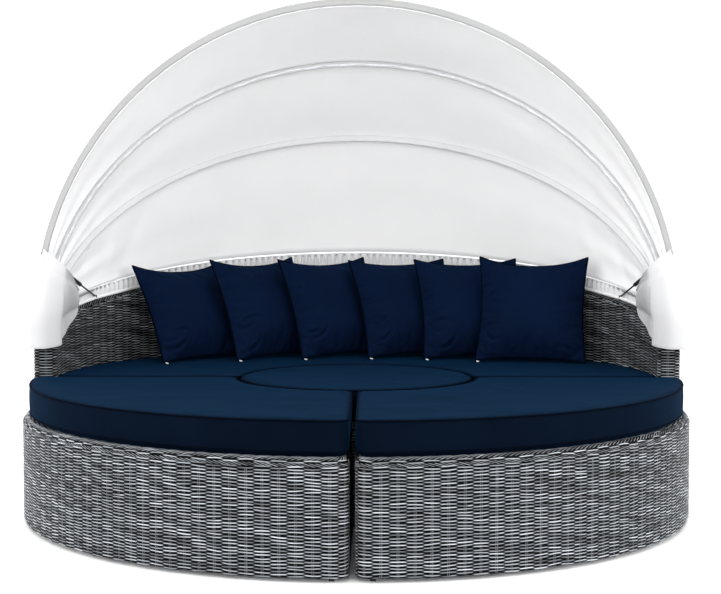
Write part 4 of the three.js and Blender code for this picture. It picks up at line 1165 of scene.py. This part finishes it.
def panelGrid(front, rear, frontTilt, rearTilt, seed):
    rows, columns = canopy["rows"], canopy["columns"]
    share = np.linspace(0, 1, rows)[:, None]
    start = canopy["clothStart"] * degree
    turn = np.linspace(start, math.pi - start, columns)[None, :]
    tilt = frontTilt + (rearTilt - frontTilt) * share
    radius = bowRadii[front] + (bowRadii[rear] - bowRadii[front]) * share**2
    sag = canopy["sag"] * np.sin(math.pi * share) * np.sin(turn)
    # the cloth gathers into soft folds as it narrows towards the pivots
    end = np.minimum(turn, math.pi - turn)
    gather = np.exp(-end / 0.34) * np.sin(share * 5 * math.pi + 4 * end) * np.sin(math.pi * share)
    radius = radius + canopy["bowTube"] + canopy["clothFit"] - sag + gather * canopy["gather"]
    grid = bowPoints(radius, tilt, turn)
    slack = ripple(grid, 0.35, seed) * np.sin(math.pi * share) * canopy["slack"]
    fine = ripple(grid * [1, 0.35, 0.35], 0.10, seed + 3)
    slack = slack + fine * np.sin(math.pi * share) * canopy["fineSlack"]
    for place, slant, width, depth in canopyFolds[front]:
        away = (turn - place - slant * share) / width
        slack = slack + depth * mm * np.exp(-(away**2)) * np.sin(math.pi * share)
    pucker = np.sin(turn * 46 + 2 * np.sin(turn * 9)) * (1 - share) * np.exp((share - 1) / 0.07)
    slack = slack + pucker * canopy["pucker"] * np.exp(-(((turn - 1.6) / 0.5) ** 2)) * (share < 1)
    return bowPoints(radius + slack, tilt, turn)


def addSheet(name, grid, material, body, thickness, replaced=()):
    piece = addPiece(name, shellOf(grid, thickness), material, body, replaced)
    area = gridArea(grid)
    steps = np.linalg.norm(np.diff(grid, axis=1), axis=2).sum(1)
    wide = float(steps.max())
    long = float(np.linalg.norm(np.diff(grid, axis=0), axis=2).sum(0).max())
    long = max(long, area / wide / 0.999)
    print("Sheet", name, round(wide, 3), "x", round(long, 3), "m, area", round(area, 4))
    return piece


def crown(bow):
    return tuple(bowPoints(bowRadii[bow], bowTilts[bow], math.pi / 2))


seams = {
    "front_canopy": ("front_bow", "second_bow", -canopy["hemReach"], 0.0, "front_panel"),
    "middle_canopy": ("second_bow", "third_bow", 0.0, 0.0, "middle_panel"),
    "rear_canopy": ("third_bow", "rear_bow", 0.0, -canopy["rearHem"], "rear_panel"),
}
for index, (name, (front, rear, ahead, behind, node)) in enumerate(seams.items()):
    grid = panelGrid(front, rear, bowTilts[front] + ahead, bowTilts[rear] + behind, 60 + index)
    piece = addSheet(name, grid, whiteCanopy, None, canopy["thickness"], [node])
    # the face turned away from the pivots is a little greyer, as painted shade against the strong light on it, so
    # that its form shows
    piece.data.materials.append(shadedOuterCanopy)
    for face in piece.data.polygons:
        if face.normal.dot(face.center - Vector((0, pivot.y, pivot.z))) > 0:
            face.material_index = 1
    # the crowns of the rear and front bows, and the piece's place baked into its points
    first, last = Vector(crown(rear)), Vector(crown(front))
    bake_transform(piece)

# Pockets that hold the bows, sewn to the inside of the cloth; each seam by its distance behind the
# bow and in from the cloth
pockets = {
    "front_bow": {"ahead": 22 * mm, "behind": 20 * mm, "start": 10.6, "pipe": 2.3 * mm, "cloth": shadedHemCloth,
                  "seams": [(6 * mm, 21 * mm)]},
    "second_bow": {"ahead": 9 * mm, "behind": 11 * mm, "start": 9.0, "pipe": 0.8 * mm, "cloth": shadedPocketCloth,
                   "seams": [(-9 * mm, 1.6 * mm)]},
    "third_bow": {"ahead": 15 * mm, "behind": 15 * mm, "start": 9.0, "pipe": 0.8 * mm, "cloth": shadedSleeveCloth,
                  "seams": [(-15 * mm, 1.6 * mm), (34 * mm, 2 * mm)]},
}
# across the pocket, and how far it stands in from the cloth
pocketShape = [(-1.0, 0.0), (-0.72, 0.18), (-0.45, 0.72), (-0.2, 0.98), (0.0, 1.0), (0.15, 0.97),
               (0.32, 0.78), (0.52, 0.46), (0.76, 0.15), (1.0, 0.0)]


def alongBow(bow, start, inward, ahead, count=260):
    # a line beside a bow on the inside of the cloth, ahead of the bow by a distance
    turns = np.linspace(start * degree, math.pi - start * degree, count)
    radius = bowRadii[bow] + canopy["bowTube"] + canopy["clothFit"] - inward
    shift = -ahead / bowRadii[bow] / np.maximum(np.sin(turns), 0.15)
    return bowPoints(radius, bowTilts[bow] + shift / degree, turns)


for index, (bow, size) in enumerate(pockets.items()):
    deep = 2 * canopy["bowTube"] + canopy["clothFit"] + 1.6 * mm
    grid = []
    for across, share in pocketShape:
        ahead = -across * (size["ahead"] if across < 0 else size["behind"])
        grid.append(alongBow(bow, size["start"], 1.2 * mm + deep * share, ahead))
    grid = np.stack(grid)
    turns = np.linspace(0, 1, grid.shape[1])
    pucker = np.sin(turns * 310 + 2.4 * np.sin(turns * 47 + index)) * canopy["pocketPucker"]
    grid[1:-1, :, 2] += pucker
    addSheet(bow + "_pocket", grid, size["cloth"], bowBody[bow], canopy["pocketThickness"])
    lines = [tubeAlong(alongBow(bow, size["start"], inward, -behind), size["pipe"], 6)
             for behind, inward in size["seams"]]
    addPiece(bow + "_seam", joined(lines), shadedSeamLine if index else whiteCanopy, bowBody[bow])
print("Canopy done")

# The gathered strip from the rear bow down to the wall's top, and the band at its foot
skirt = {
    "start": 12,
    "gatherPitch": 29 * mm,
    "depth": 10.5 * mm,
    "columns": 900,
    "rows": 9,
    "clear": -9.5 * mm,  # inside the rear bow
    "endRun": 13 * degree,  # where the struts pass, the strip lies flatter and further out
    "endShift": 9 * mm,
    "thickness": 1.2 * mm,
    "bandHeight": 12 * mm,
    "bandLift": 1.6 * mm,
    "overBow": 9 * mm,
    "seamRadius": 1.6 * mm,
}


def addSkirt():
    turns = np.linspace(skirt["start"] * degree, math.pi - skirt["start"] * degree, skirt["columns"])
    bow = bowPoints(bowRadii["rear_bow"], bowTilts["rear_bow"], turns)
    away = bow[:, :2] / np.linalg.norm(bow[:, :2], axis=1, keepdims=True)
    run = turns * bowRadii["rear_bow"]
    phase = 2 * math.pi * run / skirt["gatherPitch"] + 1.6 * np.sin(run * 9) + 0.9 * np.sin(run * 23 + 1)
    ends = np.minimum(turns, math.pi - turns) - skirt["start"] * degree
    near = np.exp(-((ends / skirt["endRun"]) ** 4))
    clear = skirt["clear"] + skirt["endShift"] * near
    flatter = 1 - 0.7 * near

    def offset(out):
        return bow[:, 0] + away[:, 0] * out, bow[:, 1] + away[:, 1] * out

    rows = []
    for share in np.linspace(0, 1, skirt["rows"]):
        deep = skirt["depth"] * (0.25 + 0.75 * math.sin(math.pi * share)) * flatter
        x, y = offset(clear + deep * np.sin(phase))
        foot = wallTop(y) + 0.6 * mm
        z = foot + (bow[:, 2] + skirt["overBow"] - foot) * (1 - share)
        rows.append(np.stack([x, y, z], -1))
    addSheet("gathered_strip", np.stack(rows), shadedTrim, "sofa", skirt["thickness"],
             ["gathered_skirt"])
    band = []
    for height in (0.5 * mm, skirt["bandHeight"] / 2, skirt["bandHeight"]):
        x, y = offset(clear - skirt["depth"] * flatter - skirt["bandLift"])
        band.append(np.stack([x, y, wallTop(y) + height + skirt["bandLift"]], -1))
    addSheet("strip_band", np.stack(band), whiteCanopy, "sofa", skirt["thickness"])
    line = np.stack([*offset(clear - skirt["depth"] * 0.6 * flatter), bow[:, 2] + 8 * mm], -1)
    addPiece("strip_seam", tubeAlong(line, skirt["seamRadius"], 6), whiteCanopy, "sofa")


addSkirt()

# Flaps over the ends of the arms: stations along the cloth from the inner side of an arm, round
# its end, to the outer side, with the same shares as the solids
flap = {
    "hem": 83 * mm,
    "rise": 256 * mm,
    "gap": 10 * mm,
    "seat": 5.5 * mm,
    "swell": 10 * mm,
    "hollow": 6 * mm,
    "fold": 3.0 * mm,
    "thickness": 1.4 * mm,
    "overArm": 6 * mm,
    "edgeRadii": (2.0 * mm, 1.6 * mm),  # of the top edge and the hem
    "finer": 7,
}
# leg, turn round the wall (at the arm's end a share across it), how low the hem hangs, how loose
# the cloth stands, and the top: a point of the slanting top edge, or a share of the rise
flapStations = [
    ("inner", 14.2, 0.0, 0.0, (1.0255, 0.26, 0.756)), ("inner", 12.2, 0.26, 0.3, (1.024, 0.17, 0.792)),
    ("inner", 8.6, 0.52, 1, (1.020, 0.09, 0.820)), ("inner", 5.2, 0.70, 1, (1.026, 0.040, 0.840)),
    ("inner", 3.3, 0.82, 1.2, (1.0386, 0.033, 0.856)), ("inner", 1.3, 0.94, 2.2, (1.060, 0.038, 0.8745)),
    ("front", 0.36, 1, 2.3, (1.084, 0.047, 0.891)), ("front", 0.78, 1, 2.2, (1.103, 0.056, 0.9025)),
    ("outer", 0, 1, 2.2, (1.117, 0.062, 0.908)), ("outer", 4, 0.98, 1.8, 0.72),
    ("outer", 8, 0.92, 1.2, 0.5), ("outer", 12.5, 0.8, 0.8, 0.3), ("outer", 17, 0.5, 0.5, 0.12),
]
flapLevels = [0.0, 0.16, 0.34, 0.52, 0.68, 0.80, 0.90, 0.96, 1.0]  # of the rise above the arm's top


def smoothed(grid, finer, axis):
    # a soft curve through the rows of a coarse grid
    grid = np.moveaxis(grid, axis, 0)
    n = len(grid)
    padded = np.concatenate([2 * grid[:1] - grid[1:2], grid, 2 * grid[-1:] - grid[-2:-1]])
    t = np.linspace(0, n - 1, (n - 1) * finer + 1)
    i = np.minimum(t.astype(int), n - 2)
    f = (t - i).reshape(-1, *([1] * (grid.ndim - 1)))
    a, b, c, d = (padded[i + k] for k in range(4))
    curve = 0.5 * (2 * b + (c - a) * f + (2 * a - 5 * b + 4 * c - d) * f**2 + (3 * b - a - 3 * c + d) * f**3)
    return np.moveaxis(curve, 0, axis)


def flapGrid(facing):
    inner, outer = wallInside - flap["gap"], wallRadius + flap["gap"]
    innerSeat, outerSeat = wallInside - flap["seat"], wallRadius + flap["seat"]
    grid = np.zeros((len(flapLevels) + 2, len(flapStations), 3))
    for i, (leg, where, low, loose, top) in enumerate(flapStations):
        turn = 0 if leg == "front" else where * degree
        near, far = (innerSeat, inner) if leg == "inner" else (outerSeat, outer)
        radius = near + (far - near) * loose
        x, y = radius * math.cos(turn), radius * math.sin(turn)
        if leg == "front":
            x, y = inner + (outer - inner) * where, -flap["gap"] * loose
        elif turn == 0:
            y = -flap["gap"] * 0.6
        arm = plan["armHeight"] + armSlope * max(y, 0)
        hem = np.array([x, y, arm - flap["hem"] * low])
        rim = np.array([x, y, arm + flap["overArm"]])
        if isinstance(top, tuple):
            peak = np.array(top) - [0, sofaY, 0]
        else:
            peak = np.array([x, y, arm + flap["rise"] * top])
        wave = flap["fold"] * (1 if i % 2 else -1)
        for j, share in enumerate([-1.0, -0.5, *flapLevels]):
            point = hem + (rim - hem) * min(1, 1 + share) if share < 0 else rim + (peak - rim) * share
            hollow = flap["hollow"] * math.exp(-(((share - 0.84) / 0.10) ** 2))
            swell = flap["swell"] * math.sin(math.pi * np.clip(share, 0, 1) ** 0.8)
            swell += wave * (1 - max(share, 0)) ** 2
            if leg == "inner":
                point[0] += hollow - swell * (1 if loose else 0.3)
            elif leg == "front":
                point[1] += hollow - swell
            elif share > -0.6:
                point[0] += wave * (1 - max(share, 0)) * 0.5
            grid[j, i] = [facing * point[0], sofaY + point[1], point[2]]
    return smoothed(smoothed(grid, flap["finer"], 1), flap["finer"], 0)


for side, facing in (("left", -1), ("right", 1)):
    grid = flapGrid(facing)
    name = f"arm_flap_{side}_cloth"
    addSheet(name, grid, shadedFlapCloth, "sofa", flap["thickness"], [f"arm_flap_{side}"])
    edges = [tubeAlong(line, radius, 6) for line, radius in zip((grid[-1], grid[0]), flap["edgeRadii"])]
    addPiece(f"arm_flap_{side}_hem", joined(edges), shadedFlapCloth, "sofa")
print("Flaps done")

# Camera, floor and light

view = {
    "lens": 81.23,
    "place": (0.060, -5.720, 1.1005),
    "pitch": 3.54,
    "yaw": 0.602,
    "shiftX": 0.00585,
}
camera = bpy.data.cameras.new("Camera")
camera.lens = view["lens"]
camera.sensor_width = 36
camera.shift_x = view["shiftX"]
cameraObject = bpy.data.objects.new("Camera", camera)
cameraObject.location = view["place"]
cameraObject.rotation_euler = ((90 - view["pitch"]) * degree, 0, view["yaw"] * degree)
bpy.context.scene.collection.objects.link(cameraObject)
bpy.context.scene.camera = cameraObject

studio = {"floorTone": 0.94, "skyStrength": 1.67}
floorFinish, _, _ = newMaterial("Pale floor", (studio["floorTone"],) * 3, 0.7)
corners = [(-14, -10, 0), (14, -10, 0), (14, 14, 0), (-14, 14, 0)]
floor = bpy.data.objects.new("floor", meshFrom("floor", corners, np.array([[0, 1, 2, 3]])))
floor.data.materials.append(floorFinish)
bpy.context.scene.collection.objects.link(floor)

world = bpy.data.worlds.new("Studio")
world.use_nodes = True
sky = world.node_tree.nodes["Background"]
sky.inputs["Color"].default_value = (1.0, 1.0, 1.0, 1)
sky.inputs["Strength"].default_value = studio["skyStrength"]
bpy.context.scene.world = world
bpy.context.scene.view_settings.view_transform = "Standard"

# name, place, aim, size in metres, and power in watts
lights = [
    ("key", (-2.6, -4.2, 4.2), (0, 0, 0.5), 3.0, 50), ("fill", (3.4, -4.0, 2.6), (0, 0, 0.5), 3.0, 30),
    ("top", (0, 0.5, 5.0), (0, 0.2, 0), 4.0, 30), ("front", (0, -7.6, 1.0), (0, 0.6, 1.2), 4.0, 80),
    ("left", (-7.0, -1.3, 1.5), (0.6, 0.2, 1.0), 3.0, 100),
    ("right", (7.0, -1.3, 1.5), (-0.6, 0.2, 1.0), 3.0, 100),
]
for name, place, aim, size, power in lights:
    lamp = bpy.data.lights.new(name, "AREA")
    lamp.size = size
    lamp.energy = power
    lampObject = bpy.data.objects.new(name, lamp)
    lampObject.location = place
    lampObject.rotation_euler = (Vector(aim) - Vector(place)).to_track_quat("-Z", "Y").to_euler()
    bpy.context.scene.collection.objects.link(lampObject)
